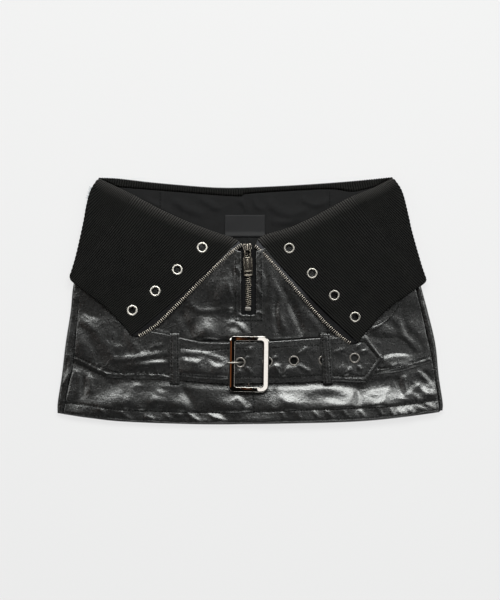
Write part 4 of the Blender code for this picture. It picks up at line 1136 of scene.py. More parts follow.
def belt():
    """The under strap, the belt with its pointed tip, and the two loops over it."""
    under = patch(UNDER_STRAP_FOOT, UNDER_STRAP_TOP, [UNDER_STRAP_FOOT[0], UNDER_STRAP_TOP[0]],
                  [UNDER_STRAP_FOOT[-1], UNDER_STRAP_TOP[-1]], steps(90, 2), steps(51, 2))
    # the under strap's near-black matt finish is partly painted shade inside the belt's eyelet holes
    lower = cloth("under_strap_leather", under, lambda x, y: TAB_Z + TAB + 0.0 * x, TAB, BACKING_AND_HOLE_SHADE)
    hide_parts("under_strap")
    strap = patch(BELT_FOOT, BELT_TOP, [BELT_FOOT[0], BELT_TOP[0]], [BELT_FOOT[-1], BELT_TOP[-1]],
                  steps(255, 1.15), steps(54, 1.1))

    def height(x, y):
        relief = creased(BELT_CREASES, x, y) * (1 + 0.45 * ease((x + 20) / 10)) + swell(BELT_FOLDS, x, y)
        relief = relief + 0.25 * unevenness(x, y, 18, 4) + 0.2 * crumple(x, y, 13, 41)
        inside = np.minimum(y - np.interp(x, *np.array(BELT_FOOT)[:7].T),
                            np.interp(x, *np.array(BELT_TOP)[:8].T) - y)
        relief = relief * (0.15 + 0.85 * ease((inside - 4) / 5))
        for line in (BELT_TOP_STITCH, BELT_FOOT_STITCH):
            away, _ = distance_along(path(line)(np.linspace(0, 1, 60)), x, y)
            relief = relief - 0.18 * np.exp(-((away / 0.9) ** 2))
        rim = BELT_TOP[6:] + BELT_FOOT[-2:-5:-1]
        away, _ = distance_along(rim, x, y)
        relief = relief + 0.55 * np.exp(-(((away - 3.4) / 1.7) ** 2)) * ease((x - 96) / 8)
        relief = relief - 0.3 * np.exp(-(((away - 7.4) / 1.2) ** 2)) * ease((x - 96) / 8)
        for ex, ey in BELT_EYELETS:
            relief = relief * ease((np.hypot(x - ex, y - ey) - EYELET_OUTER + 1.5) / 3)
        return belt_level(x) + STRAP + np.maximum(relief, -0.3)

    upper = cloth("belt_leather", strap, height, STRAP, COATED_LEATHER,
                  kept=holed(strap, BELT_EYELETS, EYELET_HOLE + EYELET_WALL + GAP))
    surfaces["belt"] = surface_of(upper)
    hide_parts("belt_strap")
    for piece in (lower, upper):
        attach(piece, "garment")
    for side, (top_x, foot_x, covered) in LOOPS.items():
        belt_loop(side, top_x, foot_x, covered + GAP)


def belt_loop(side, top_x, foot_x, height):
    """A strip over the belt, turned in along both edges, whose ends come down to the cloth."""
    foot = FRONT_Z + LEATHER + GAP
    section = [(0.0, foot), (0.02, foot + 0.3), (0.045, height - 0.3), (0.055, height), (0.955, height),
               (0.965, height - 0.3), (0.985, foot + 0.3), (1.0, foot)]
    share = np.linspace(0, 1, 76)
    level = sum(np.interp(share + shift, *zip(*section)) for shift in (-0.008, 0, 0.008)) / 3
    across = steps(LOOP_WIDTH, 0.7) - 0.5
    middle = top_x + (foot_x - top_x) * share
    x = middle[:, None] + LOOP_WIDTH * across[None, :]
    y = np.repeat((LOOP_TOP + (LOOP_FOOT - LOOP_TOP) * share)[:, None], len(across), axis=1)
    ridge = 0.16 * np.exp(-(((np.abs(across) * LOOP_WIDTH - 1.6) / 0.9) ** 2))
    ridge = ridge - 0.25 * np.exp(-(((np.abs(across) * LOOP_WIDTH - 3.6) / 0.6) ** 2))
    crown = 0.1 * (1 - (2 * across) ** 2)
    relief = ridge + crown + 0.2 * crumple(x, y, 7, 66)
    drop = edge_drop(*x.shape) * LOOP
    over = np.stack([x, y, level[:, None] + LOOP + relief - drop], axis=-1)
    under = np.stack([x, y, level[:, None] + drop], axis=-1)
    piece = keep(f"belt_loop_{side}_leather", with_crisp_walls(shell_mesh("belt_loop", over, under)),
                 COATED_LEATHER)
    surfaces[f"loop_{side}"] = surface_of(piece)
    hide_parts(f"belt_loop_{side}")
    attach(piece, "garment")


# The ribbed collar
# -----------------


def collar_spread(side, s, t):
    """Points of a turned-down collar: s across its ribs, t from the fold to their ends."""
    outline = COLLAR_OUTLINE[side]
    fold, free, edge = path(outline["fold"]), path(outline["free"]), path(outline["side"])
    start = outline["first_rib"][0] / length_of(outline["fold"])
    finish = outline["first_rib"][1] / length_of(outline["free"])
    corner = outline["corner"]
    bow = RIB_BOW if side == "left" else -RIB_BOW
    begin = fold(start + (LAST_RIB - start) * s)
    on_free = free(finish + (1 - finish) * np.minimum(s / corner, 1))
    on_side = edge(np.clip((s - corner) / (1 - corner), 0, 1) * LAST_RIB)
    end = np.where((s <= corner)[:, None], on_free, on_side)
    run = end - begin
    aside = np.stack([-run[:, 1], run[:, 0]], axis=-1)
    t = t[..., None]
    return begin + run * t + aside * bow * 4 * t * (1 - t), np.linalg.norm(run, axis=1)


def collar_steps(lengths, rows):
    """Rows across the ribs for each rib: close at the fold and at the far end, where the knit turns."""
    near = np.array([0, 0.4, 1.0, 1.8, 2.8, 4.2, 6.0])
    shares = np.linspace(0, 1, rows)[1:-1]
    table = []
    for length in lengths:
        ends = near * min(1, 0.25 * length / 6)
        inner = ends[-1] + (length - 2 * ends[-1]) * shares
        table.append(np.concatenate([ends, inner, length - ends[::-1]]) / length)
    return np.array(table).T


def collar(side):
    """A turned-down front of the ribbed collar, rolled over at its fold and at its side edge."""
    outline = COLLAR_OUTLINE[side]
    corner = outline["corner"]
    whole = corner + (1 - corner) * SIDE_RIBS
    count = round(outline["ribs"] * whole)
    columns = 8 * count
    even = np.linspace(0, 1, columns + 1)
    s = np.where(even * whole <= corner, even * whole, corner + (even * whole - corner) / SIDE_RIBS)
    _, lengths = collar_spread(side, s, np.zeros((1, columns + 1)))
    t = collar_steps(lengths, 46)
    points, _ = collar_spread(side, s, t)
    x, y = points[..., 0], points[..., 1]
    rolled = ease((s - corner + 0.05) / 0.08)
    turn = np.minimum(6, 0.25 * lengths) / lengths
    end = np.minimum(7, 0.3 * lengths) / lengths
    late, _ = collar_spread(side, s, (1 - end)[None])
    last, _ = collar_spread(side, s, np.ones((1, columns + 1)))
    late_z = COLLAR_OVER_TAB + lift(late[0, :, 1]) + belt_lift(side, late[0, :, 1])
    last_z = COLLAR_OVER_TAB + lift(last[0, :, 1]) + belt_lift(side, last[0, :, 1])
    late_z = late_z + (COLLAR_Z - late_z) * rolled
    last_z = last_z + (SIDE_Z - last_z) * rolled
    roll = np.sqrt(1 - (1 - np.clip(t / turn, 0, 1)) ** 2)
    z = FOLD_Z + (COLLAR_Z - FOLD_Z) * roll
    share = np.clip((t - turn) / (1 - end - turn), 0, 1)
    z = z + (late_z - COLLAR_Z) * share
    fall = np.clip((t - 1 + end) / end, 0, 1)
    z = z + (last_z - late_z) * np.where(rolled > 0.5, 1 - np.sqrt(1 - fall**2), fall)
    thick = KNIT - 0.4 * (1 - ease(t / turn)) - 0.4 * ease((t - 1 + end * 0.5) / (end * 0.5))
    waves = 0.35 * unevenness(x, y, 38, 21) * ease(t * lengths / 12) * ease((1 - t) * lengths / 12)
    drop = edge_drop(*x.shape) * KNIT
    over = np.stack([x, y, z + thick + np.abs(waves) - drop], axis=-1)
    under = np.stack([x, y, z + drop], axis=-1)
    ribs = (even * count)[None].repeat(len(t), 0)
    relief = ease(np.minimum(t, 1 - t) * lengths / 1.0) * 0.85 + 0.15
    attributes = {"rib": ribs, "along": t * lengths, "relief": relief}
    kept = holed(points, COLLAR_EYELETS[side], EYELET_HOLE + EYELET_WALL + GAP)
    mesh = shell_mesh(f"collar_{side}", over, under, kept, attributes)
    piece = grown(f"collar_{side}_knit", mesh, RIBS, {"Finish": RIB_KNIT}, RIB_KNIT)
    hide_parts(f"collar_{side}")
    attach(piece, "garment")


def level_with(line, x):
    """The Y of a line that runs across, where it passes each x."""
    points = path(line)(np.linspace(0, 1, 241))
    return np.interp(x, points[:, 0], points[:, 1])


def collar_back():
    """The back of the collar, turned down under the back, with its rolled top in ribs."""
    columns = 8 * BACK_RIBS
    u = np.linspace(0, 1, columns + 1)
    upper, lower = path(BACK_COLLAR_TOP)(u), path(BACK_COLLAR_FOOT)(u)
    folds = COLLAR_OUTLINE["left"]["fold"][::-1] + COLLAR_OUTLINE["right"]["fold"]
    step = np.maximum(level_with(FACING_TOP, upper[:, 0]), level_with(folds, upper[:, 0])) + 1.5
    step = np.minimum(step, upper[:, 1] - 1.2)
    roll = upper[:, 1] - step
    flat = 2.4 + 2.3 * ease((np.abs(2 * u - 1) - 0.978) / 0.02)
    crown = 6.1
    slope = (upper[:, 0] - lower[:, 0]) / (upper[:, 1] - lower[:, 1])
    rows = [(lower[:, 1], flat * 0.4, 0.3), (lower[:, 1] + 0.8, flat, 0), (step - 0.3, flat, 0),
            (step - 0.1, 0 * u + crown - 2.0, 0), (step + 0.5, 0 * u + crown - 0.8, 0.6),
            (step + 0.25 * roll, 0 * u + crown - 0.25, 1), (step + 0.45 * roll, 0 * u + crown, 1),
            (step + 0.65 * roll, 0 * u + crown - 0.35, 1), (step + 0.85 * roll, 0 * u + crown - 1.2, 1),
            (step + 0.95 * roll, 0 * u + crown - 2.2, 1), (upper[:, 1], 0 * u + 2.6, 1),
            (upper[:, 1] - 0.2, 0 * u + 1.3, 1), (upper[:, 1] - 0.9, 0 * u + 0.45, 1)]
    for share in np.linspace(0.03, 0.985, 14):
        rows.append((upper[:, 1] + (lower[:, 1] - upper[:, 1]) * share, 0 * u + 0.4, 1))
    rows.append((lower[:, 1] + 0.3, 0 * u + 0.5, 0.3))
    loop = []
    for y, z, _ in rows:
        loop.append(np.stack([lower[:, 0] + slope * (y - lower[:, 1]), y, z], axis=-1))
    sections = np.stack(loop, axis=1)
    mesh = tube_mesh("collar_back", sections)
    count = len(rows)
    along = np.array([np.linspace(1, 61, count)] * (columns + 1))
    shares = np.array([[share * 1.3 for _, _, share in rows]] * (columns + 1))
    for label, values in (("rib", (u * BACK_RIBS)[:, None].repeat(count, 1)), ("along", along),
                          ("relief", shares)):
        layer = mesh.attributes.new(label, "FLOAT", "POINT")
        layer.data.foreach_set("value", values.ravel().astype(np.float32))
    piece = grown("collar_back_knit", mesh, RIBS, {"Finish": RIB_KNIT}, RIB_KNIT)
    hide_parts("collar_back")
    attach(piece, "garment")


def facing_and_label():
    """The smooth facing inside the back of the waist, with its label left bare."""
    spread = patch(FACING_FOOT, FACING_TOP, [FACING_FOOT[0], FACING_TOP[0]],
                   [FACING_FOOT[-1], FACING_TOP[-1]], steps(315, 1.5), steps(50, 1.5))

    def height(x, y):
        relief = 0.4 * unevenness(x, y, 30, 14) + 0.8 * creased(FACING_CREASES, x, y)
        relief = relief + 0.5 * crumple(x, y, 26, 88)
        for seam_x, lean in ((-107.3, 0.1), (94.9, -0.1), (-3.8, 0)):
            away = np.abs(x - seam_x - lean * (y - 100))
            relief = relief - 0.4 * np.exp(-((away / 1.0) ** 2)) + 0.25 * np.exp(-(((away - 3) / 2) ** 2))
        x0, y0, x1, y1 = LABEL
        aside = np.maximum(np.maximum(x0 - x, x - x1), np.maximum(y0 - y, y - y1))
        return BACK_LIFT + FACING_Z + LEATHER + np.clip(relief, -1.1, 0.1 + 2.4 * ease((aside - 1) / 5))

    facing = cloth("waist_facing_cloth", spread, height, LEATHER, FACING_CLOTH)
    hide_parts("waist_facing")
    x0, y0, x1, y1 = LABEL
    xs = x0 + (x1 - x0) * steps(x1 - x0, 1.2)
    ys = y0 + (y1 - y0) * steps(y1 - y0, 1.2)
    grid = np.stack(np.meshgrid(xs, ys), axis=-1)
    low = BACK_LIFT + FACING_Z + LEATHER + GAP

    def label_top(x, y):
        return low + LABEL_THICK + 0.12 * unevenness(x, y, 12, 8) + 0.8 * ease((y0 + 7 - y) / 7)

    label = cloth("waist_label_satin", grid, label_top, 0.9, LABEL_SATIN)
    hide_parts("waist_label")
    for piece in (facing, label):
        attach(piece, "garment")
    surfaces["facing"] = surface_of(facing)


def shorts():
    """The inner shorts, hidden between the front and the back: a waist, two legs and the slot between."""
    half_waist, half_hem, slot, waist_y, crotch_y, hem_y = 176, 196, 3, 48, -78, -120
    ys = hem_y + (waist_y - hem_y) * steps(waist_y - hem_y, 4)
    shares = steps(2 * half_hem, 4) * 2 - 1
    reach = half_hem + (half_waist - half_hem) * (ys - hem_y) / (waist_y - hem_y)
    spread = np.stack([reach[:, None] * shares[None], ys[:, None].repeat(len(shares), 1)], axis=-1)
    middle = (spread[1:, 1:] + spread[:-1, :-1]) / 2
    kept = (np.abs(middle[..., 0]) > slot) | (middle[..., 1] > crotch_y)
    piece = cloth("inner_shorts_jersey", spread, lambda x, y: SHORTS_Z + SHORTS + lift(y), SHORTS,
                  LINING_JERSEY, kept=kept)
    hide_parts("inner_shorts")
    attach(piece, "garment")


def frayed_edge():
    """A few grey threads that have worked loose from the left collar's side edge, high up."""
    source = random.Random(11)
    threads = []
    for k in range(16):
        share = k / 15
        root = np.array([-197.0 + 4.2 * share, 124.5 + 13.5 * share, 7.6 + 1.2 * source.random()])
        angle = math.radians(158 + source.uniform(-16, 16))
        run = source.uniform(1.8, 3.4)
        tip = root + np.array([run * math.cos(angle), run * math.sin(angle), source.uniform(-0.8, 0.5)])
        sections = []
        for far in (-0.25, 0.1, 0.5, 0.8, 1.0):
            centre = root + (tip - root) * far + np.array([0, 0, 0.4 * math.sin(math.pi * max(far, 0))])
            thick = 0.32 * (1 - 0.6 * max(far, 0))
            sections.append([(centre[0] + thick * math.sin(a) * 0.3, centre[1] + thick * math.cos(a),
                              centre[2] + thick * math.sin(a))
                             for a in np.linspace(0, 2 * math.pi, 6, endpoint=False)])
        threads.append(tube_mesh("thread", np.array(sections)))
    piece = keep("frayed_edge_threads", joined("frayed_edge", threads), FRAYED_THREAD)
    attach(piece, "garment")


# The zip
# -------


def tooth_mesh():
    """One metal tooth: a bar clenched over the tape's edge, with a rounded head."""
    outline = [(0.36, -2.3), (0.44, -0.8), (0.44, 1.5), (0.28, 2.0), (-0.28, 2.0), (-0.44, 1.5),
               (-0.44, -0.8), (-0.36, -2.3)]
    rings = []
    for z, size in ((-0.75, 0.9), (-0.45, 1.0), (0.6, 1.0), (0.9, 0.8)):
        rings.append([(x * size, y * (0.94 if size < 1 else 1.0), z) for x, y in outline])
    return tube_mesh("tooth", np.array(rings))


def zips():
    """The open tapes along the collar, the closed one behind the window, and their teeth."""
    tape_lines = {}
    for side in COLLAR_OUTLINE:
        rows = np.linspace(0, 1, 110)
        teeth = path(COLLAR_OUTLINE[side]["zip"])(0.01 + 0.99 * rows)
        ribs, _ = collar_spread(side, np.zeros(1), rows[:, None])
        ribs = ribs[:, 0]
        across = teeth - ribs
        across /= np.linalg.norm(across, axis=1)[:, None]
        ribs = ribs + across * GAP
        level = COLLAR_Z + (COLLAR_OVER_TAB - COLLAR_Z) * ease((rows - 0.5) / 0.45)
        level = level + belt_lift(side, teeth[:, 1])
        dip = (COLLAR_Z - FOLD_Z) * ease(1 - rows / 0.06)
        shares = np.linspace(0, 1, 15)
        spread = ribs[:, None] * (1 - shares)[None, :, None] + teeth[:, None] * shares[None, :, None]
        z = level[:, None] - dip[:, None] * (1 - shares)[None]
        tilt = 0.9 if side == "right" else -0.5
        z = z + tilt * (shares - 1)[None] * ease(rows / 0.1)[:, None]
        welt = 0.7 * np.exp(-(((shares - 0.22) / 0.10) ** 2)) + 0.45 * np.exp(-(((shares - 0.5) / 0.08) ** 2))
        edge = edge_drop(*z.shape) * TAPE
        over = np.dstack([spread, z + TAPE + welt[None] * (1 - 0.6 * ease(1 - rows / 0.1))[:, None] - edge])
        under = np.dstack([spread, z + edge])
        # the open tapes are painted lighter towards the collar's fold, the right one further down: painted
        # light
        painted_light_share = 1 - ease((rows[:, None] * 190 - (70 if side == "right" else 20)) / 40) + 0 * z
        tape = shell_mesh("zip_tape", over, under, attributes={"painted_light_share": painted_light_share})
        piece = keep(f"zip_tape_{side}_twill", tape, TAPE_TWILL)
        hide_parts(f"zip_tape_{side}")
        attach(piece, "garment")
        inset = teeth - across * 1.3
        tape_lines[side] = np.column_stack([inset, level + TAPE - 0.1])
    lines = []
    for side, line in tape_lines.items():
        lines.append(line[:-2] if side == "left" else line[:-2][::-1])
    open_teeth = in_a_row("open_teeth", lines, tooth_mesh(), TOOTH_PITCH, AGED_NICKEL, turn=0.012)
    ys = np.linspace(ZIP_FOOT, TAB_AXIS_Y, 60)
    grid = np.stack(np.meshgrid(ZIP_X + np.linspace(-13, 13, 22), ys), axis=-1)
    closed = cloth("zip_tape_closed_twill", grid, lambda x, y: TAPE_Z + TAPE + lift(y), TAPE, TAPE_INNER)
    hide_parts("zip_tape_closed")
    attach(closed, "garment")
    chain = []
    for offset, start in ((-1.25, 0.0), (1.25, 1.25)):
        ys = np.arange(-6.0 + start, 59, 1.0)
        line = [(ZIP_X + offset, y, TAPE_Z + TAPE + float(lift(y)) + 0.75) for y in ys]
        chain.append(line if offset > 0 else line[::-1])
    closed_teeth = in_a_row("closed_teeth", chain, tooth_mesh(), TOOTH_PITCH, WORN_NICKEL, turn=0.01)
    for piece in (open_teeth, closed_teeth):
        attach(piece, "garment")


# Metal fittings
# --------------


def turned(x, y, top, profile, segments=40):
    """Rings of a turned part standing at x, y, from its radius and height at each step."""
    angles = np.linspace(0, 2 * math.pi, segments, endpoint=False)
    rings = []
    for radius, z in profile:
        rings.append(np.column_stack([x + radius * np.cos(angles), y + radius * np.sin(angles),
                                      np.full(segments, top + z)]))
    return np.array(rings)


EYELET_PROFILE = [(6.6, 0.0), (6.58, 0.18), (6.3, 0.5), (5.85, 0.74), (5.35, 0.8), (4.85, 0.68), (4.45, 0.35),
                  (4.2, -0.2), (4.1, -0.8), (4.1, -1.7), (4.7, -1.7), (4.7, -0.05), (5.6, 0.0)]
EYELET_DEPTH = 1.7  # how far the barrel reaches below the flange
# the right collar's eyelets take a greyer nickel than the left ones: painted shade
EYELET_FINISH = {"belt": DARK_NICKEL, "collar_left": NICKEL, "collar_right": PRONG_AND_SHADED_EYELET_NICKEL}


def eyelets():
    """Rolled eyelets: a domed flange that turns down into the barrel."""
    for group, centres in (("belt", BELT_EYELETS), ("collar_left", COLLAR_EYELETS["left"]),
                           ("collar_right", COLLAR_EYELETS["right"])):
        nodes, rings = [], []
        for number, (x, y) in enumerate(centres, 1):
            node = f"belt_eyelet_{number}" if group == "belt" else f"collar_eyelet_{group[7:]}_{number}"
            nodes.append(node)
            low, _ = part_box(node)
            ring = turned(x, y, low[2] / MM + EYELET_DEPTH, EYELET_PROFILE)
            rings.append(tube_mesh(node, ring, closed=True))
        piece = keep(f"{group}_eyelets_metal", joined(f"{group}_eyelets", rings), EYELET_FINISH[group])
        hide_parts(*nodes)
        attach(piece, "garment")


def round_corners(width, height, radii, each=7):
    """Points round a rectangle, the same number at each corner, from the upper right one anticlockwise."""
    points = []
    for corner, radius in enumerate(radii):
        cx = (width / 2 - radius) * (1 if corner in (0, 3) else -1)
        cy = (height / 2 - radius) * (1 if corner in (0, 1) else -1)
        for angle in np.radians(90 * corner + np.linspace(0, 90, each)):
            points.append((cx + radius * math.cos(angle), cy + radius * math.sin(angle)))
    return np.array(points)


def with_middles(points, each=7, between=10):
    """The same points, with more of them along the straight bars."""
    filled = []
    for k, point in enumerate(points):
        filled.append(point)
        if k % each == each - 1:
            ahead = points[(k + 1) % len(points)]
            filled += [point + (ahead - point) * share for share in np.linspace(0, 1, between + 2)[1:-1]]
    return np.array(filled)


BUCKLE_CROWN = 3.18  # the highest point of the bars' section
# The ground slant on the right: its height where it starts in X, its fall to each mm from there, and that X
SLANT_HEIGHT, SLANT_FALL, SLANT_START = 3.15, 0.11, 7
SLANT_DROP = ((0.001, 0.35), (0.03, 0.2), (0.07, 0.08), (0.11, 0.02))  # how its outer edge rounds off


def buckle():
    """A polished frame whose bars are rounded over, the centre bar under the belt, and the prong."""
    width, height = BUCKLE_SIZE
    bar_x, bar_y = BUCKLE_BAR
    low = BUCKLE_BELT_Z + STRAP + GAP
    outer = with_middles(round_corners(width, height, (8.4, 5.6, 5.6, 8.4)))
    inner = with_middles(round_corners(width - 2 * bar_x, height - 2 * bar_y, (3.2, 2.2, 2.2, 3.2)))
    profile = [(0.0, 0.5), (0.0, 1.3), (0.02, 1.55), (0.06, 1.8), (0.1, 2.0), (0.15, 2.16), (0.25, 2.4),
               (0.4, 2.67), (0.6, 2.9), (0.8, 3.08), (0.93, 3.18), (0.97, 3.0), (0.99, 2.6), (1.0, 1.9),
               (1.0, 0.5), (0.92, 0.1), (0.5, 0.0), (0.08, 0.1)]
    upright = ease((np.abs(outer[:, 0]) - width / 2 + 3.8) / 3.4)  # the bars across are flatter
    rings = []
    for share, z in profile:
        flat = outer + (inner - outer) * share
        level = np.full(len(outer), float(z))
        if z > 1.95:
            level = BUCKLE_THICK + (z - BUCKLE_THICK) * (0.3 + 0.7 * upright)
        # the right part is ground to one slant, so that it mirrors evenly
        slant = SLANT_HEIGHT - SLANT_FALL * (flat[:, 0] - SLANT_START)
        below = next((drop for reach, drop in SLANT_DROP if share <= reach and z >= 1.0), 0.0)
        if share >= 0.93:
            below = BUCKLE_CROWN - z
        ground = slant - below if z >= 1.0 else z + 0.0 * slant
        right = ease((flat[:, 0] - 5.5) / 4)
        rings.append(np.column_stack([flat, low + level * (1 - right) + ground * right]))
    frame_mesh = tube_mesh("buckle", np.array(rings).transpose(1, 0, 2), closed=True)
    bar_z = TAB_Z + BAR
    reach = height / 2 - bar_y / 2
    angles = np.linspace(0, 2 * math.pi, 20, endpoint=False)
    route = [(-reach - 0.2, low + 1.0), (-reach, bar_z + 1.2), (-reach + 1.4, bar_z + 0.2),
             (-reach + 3, bar_z), (reach - 3, bar_z), (reach - 1.4, bar_z + 0.2), (reach, bar_z + 1.2),
             (reach + 0.2, low + 1.0)]
    sections = []
    for k, (y, z) in enumerate(route):
        ahead = np.array(route[min(k + 1, len(route) - 1)]) - np.array(route[max(k - 1, 0)])
        ahead = ahead / np.linalg.norm(ahead)
        sections.append([(BAR * math.cos(a), y - ahead[1] * BAR * math.sin(a),
                          z + ahead[0] * BAR * math.sin(a)) for a in angles])
    mesh = joined("buckle_frame", [frame_mesh, tube_mesh("bar", np.array(sections))])
    moved = Matrix.Translation(Vector((*BUCKLE_CENTRE, 0)) * MM)
    mesh.transform(moved @ Matrix.Rotation(BUCKLE_LEAN, 4, "Z"))
    piece = keep("buckle_frame_gunmetal", mesh, GUNMETAL)
    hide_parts("buckle_frame")
    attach(piece, "garment")
    prong(low)


def prong(frame_low):
    """A round pin, curled round the centre bar, that rises through the first eyelet over the left bar."""
    top = frame_low + BUCKLE_THICK + BAR + GAP
    y = BELT_EYELETS[0][1]
    route = [(-4.4, TAB_Z + BAR), (-7.6, TAB_Z + BAR + 0.4), (-10.0, BUCKLE_BELT_Z + 0.6),
             (-12.0, BUCKLE_BELT_Z + 3.4), (-14.6, top - 1.2), (-17.6, top), (-23, top + 0.1),
             (-28, top - 0.2)]
    line = path(route)(np.linspace(0, 1, 40))
    ahead = np.gradient(line, axis=0)
    ahead /= np.linalg.norm(ahead, axis=1)[:, None]
    angles = np.linspace(0, 2 * math.pi, 18, endpoint=False)
    sections = []
    for share, (x, z), (ax, az) in zip(np.linspace(0, 1, 40), line, ahead):
        radius = BAR * math.sqrt(max(0.04, 1 - max(0, share - 0.93) ** 2 / 0.005))
        radius *= 1.12 - 0.3 * ease(share)
        sections.append([(x - az * radius * math.sin(a), y + radius * math.cos(a),
                          z + ax * radius * math.sin(a)) for a in angles])
    piece = keep("buckle_prong_gunmetal", tube_mesh("buckle_prong", np.array(sections)), PRONG_AND_SHADED_EYELET_NICKEL)
    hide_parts("buckle_prong")
    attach(piece, "garment")


def plate_rings(outline, low, high, bevel):
    """Rings of a flat plate with rounded edges, from the middle of its underside to that of its top."""
    centre = outline.mean(axis=0)
    size = np.abs(outline - centre).max(axis=0)
    rings = []
    for inset, z in ((bevel, low), (0.3 * bevel, low + 0.3 * bevel), (0, low + bevel), (0, high - bevel),
                     (0.3 * bevel, high - 0.3 * bevel), (bevel, high)):
        flat = centre + (outline - centre) * (1 - inset / size)
        rings.append(np.column_stack([flat, np.full(len(flat), z)]))
    return np.array(rings)


def slider():
    """The zip's slider: a body with flared shoulders, and the bridge that holds the pull tab."""
    low = TAPE_Z + TAPE + BACK_LIFT + GAP
    crown = low + SLIDER_THICK
    half = [(0, 4.5), (3.2, 4.4), (5.0, 3.6), (5.5, 2.2), (5.4, 0.4), (4.7, -1.6), (4.3, -3.4), (3.6, -4.3),
            (0, -4.5)]
    outline = np.array(half + [(-x, y) for x, y in half[-2:0:-1]])
    outline = path([tuple(p) for p in outline] + [tuple(outline[0])])(np.linspace(0, 1, 41)[:-1])[::-1]
    outline = outline + (SLIDER_X, SLIDER_Y)
    body = tube_mesh("slider", plate_rings(outline, low, crown, 0.5))
    behind, before = SLIDER_Y + 4, TAB_AXIS_Y - 2.2
    arch = [(behind, crown - 1), (behind - 0.2, crown + 1.4), (behind - 0.9, crown + 2.8),
            (behind - 2.6, crown + 3.5), (TAB_AXIS_Y + 1.0, crown + 3.55), (TAB_AXIS_Y - 0.8, crown + 3.3),
            (before + 0.2, crown + 2.2), (before, crown + 0.8), (before, crown - 1)]
    line = path(arch)(np.linspace(0, 1, 36))
    ahead = np.gradient(line, axis=0)
    ahead /= np.linalg.norm(ahead, axis=1)[:, None]
    section = round_corners(2.0, 1.1, (0.4, 0.4, 0.4, 0.4), 4)
    sections = []
    for (y, z), (ay, az) in zip(line, ahead):
        sections.append([(SLIDER_X + px, y - az * pz, z + ay * pz) for px, pz in section])
    mesh = joined("zip_slider", [body, tube_mesh("bridge", np.array(sections))])
    mesh.set_sharp_from_angle(angle=math.radians(38))
    # the body takes a darker copy of the zip's nickel than its ribs: painted shade
    piece = keep("zip_slider_metal", mesh, SHADED_SLIDER_NICKEL)
    raised = []
    for start, end, wide, high, base in SLIDER_RODS:
        start = (SLIDER_X + start[0], SLIDER_Y + start[1])
        end = (SLIDER_X + end[0], SLIDER_Y + end[1])
        raised.append(rod(start, end, wide, high, crown + base))
    ribs = keep("zip_slider_ribs_metal", joined("zip_slider_ribs", raised), AGED_NICKEL)
    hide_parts("zip_slider")
    for part in (piece, ribs):
        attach(part, "garment")
    return crown + 1.5


def rim_and_holes(outline, holes, low, high, bevel):
    """A plate with holes through it, made as a filled flat curve with rounded edges."""
    shape = bmesh.new()
    curve = bpy.data.curves.new("plate", "CURVE")
    curve.dimensions = "2D"
    curve.fill_mode = "BOTH"
    curve.extrude = ((high - low) / 2 - bevel) * MM
    curve.bevel_depth = bevel * MM
    curve.bevel_resolution = 3
    curve.offset = -bevel * MM
    for points in [outline, *holes]:
        spline = curve.splines.new("POLY")
        spline.points.add(len(points) - 1)
        for point, (x, y) in zip(spline.points, points):
            point.co = (x * MM, y * MM, 0, 1)
        spline.use_cyclic_u = True
    source = bpy.data.objects.new("plate", curve)
    bpy.context.scene.collection.objects.link(source)
    graph = bpy.context.evaluated_depsgraph_get()
    mesh = bpy.data.meshes.new_from_object(source.evaluated_get(graph))
    bpy.data.objects.remove(source)
    mesh.transform(Matrix.Translation((0, 0, (low + high) / 2 * MM)))
    shape.from_mesh(mesh)
    bmesh.ops.remove_doubles(shape, verts=shape.verts, dist=0.00001)
    bmesh.ops.recalc_face_normals(shape, faces=shape.faces)
    return shape


# raised ribs on the slider, from its middle: start, end, half width, height and foot over the body
SLIDER_RODS = [
    ((-5.0, 3.6), (-1.6, 4.0), 0.5, 0.5, 0.0),
    ((-4.9, 3.2), (-5.1, 0.2), 0.4, 0.4, 0.0),
    ((-5.0, 0.0), (-3.9, -3.6), 0.35, 0.35, 0.0),
    ((1.6, 4.0), (5.0, 3.6), 0.5, 0.4, 0.0),
    ((4.9, 3.2), (5.1, 0.2), 0.35, 0.35, 0.0),
    ((5.0, 0.0), (3.9, -3.6), 0.35, 0.35, 0.0),
    ((0.0, 3.6), (0.0, -3.8), 0.75, 0.35, 3.9),
    ((-2.6, 1.8), (-2.6, -3.0), 0.3, 0.3, 0.0),
    ((2.6, 1.8), (2.6, -3.0), 0.3, 0.3, 0.0),
]
# and on the pull tab, from its hinge: start, end, half width and height
TAB_RODS = [
    ((-3.2, -0.6), (-3.2, -9.0), 0.75, 0.5),
    ((3.2, -0.6), (3.2, -9.0), 0.75, 0.5),
    ((-3.0, -9.7), (3.0, -9.7), 0.6, 0.4),
    ((-0.5, -11.2), (-0.5, -24.6), 1.3, 0.8),
    ((4.6, -10.8), (4.6, -25.4), 0.55, 0.5),
    ((-4.6, -10.8), (-4.6, -25.4), 0.5, 0.35),
    ((-4.6, -26.2), (4.6, -26.2), 0.6, 0.5),
]


def rod(start, end, wide, high, base):
    """A rounded bar that stands on a plate, half as wide as given and so high, with rounded ends."""
    ahead = np.array(end, float) - np.array(start, float)
    run = np.linalg.norm(ahead)
    ahead /= run
    aside = np.array([-ahead[1], ahead[0]])
    sections = []
    for far, size in ((0, 0.35), (0.25, 0.75), (0.6, 0.96), (1.0, 1.0), (run - 1.0, 1.0), (run - 0.6, 0.96),
                      (run - 0.25, 0.75), (run, 0.35)):
        centre = np.array(start) + ahead * far
        ring = []
        for angle in np.radians(np.linspace(0, 360, 14, endpoint=False)):
            place = centre + aside * wide * size * math.cos(angle)
            ring.append((*place, base + high * size * math.sin(angle)))
        sections.append(ring)
    return tube_mesh("rod", np.array(sections))


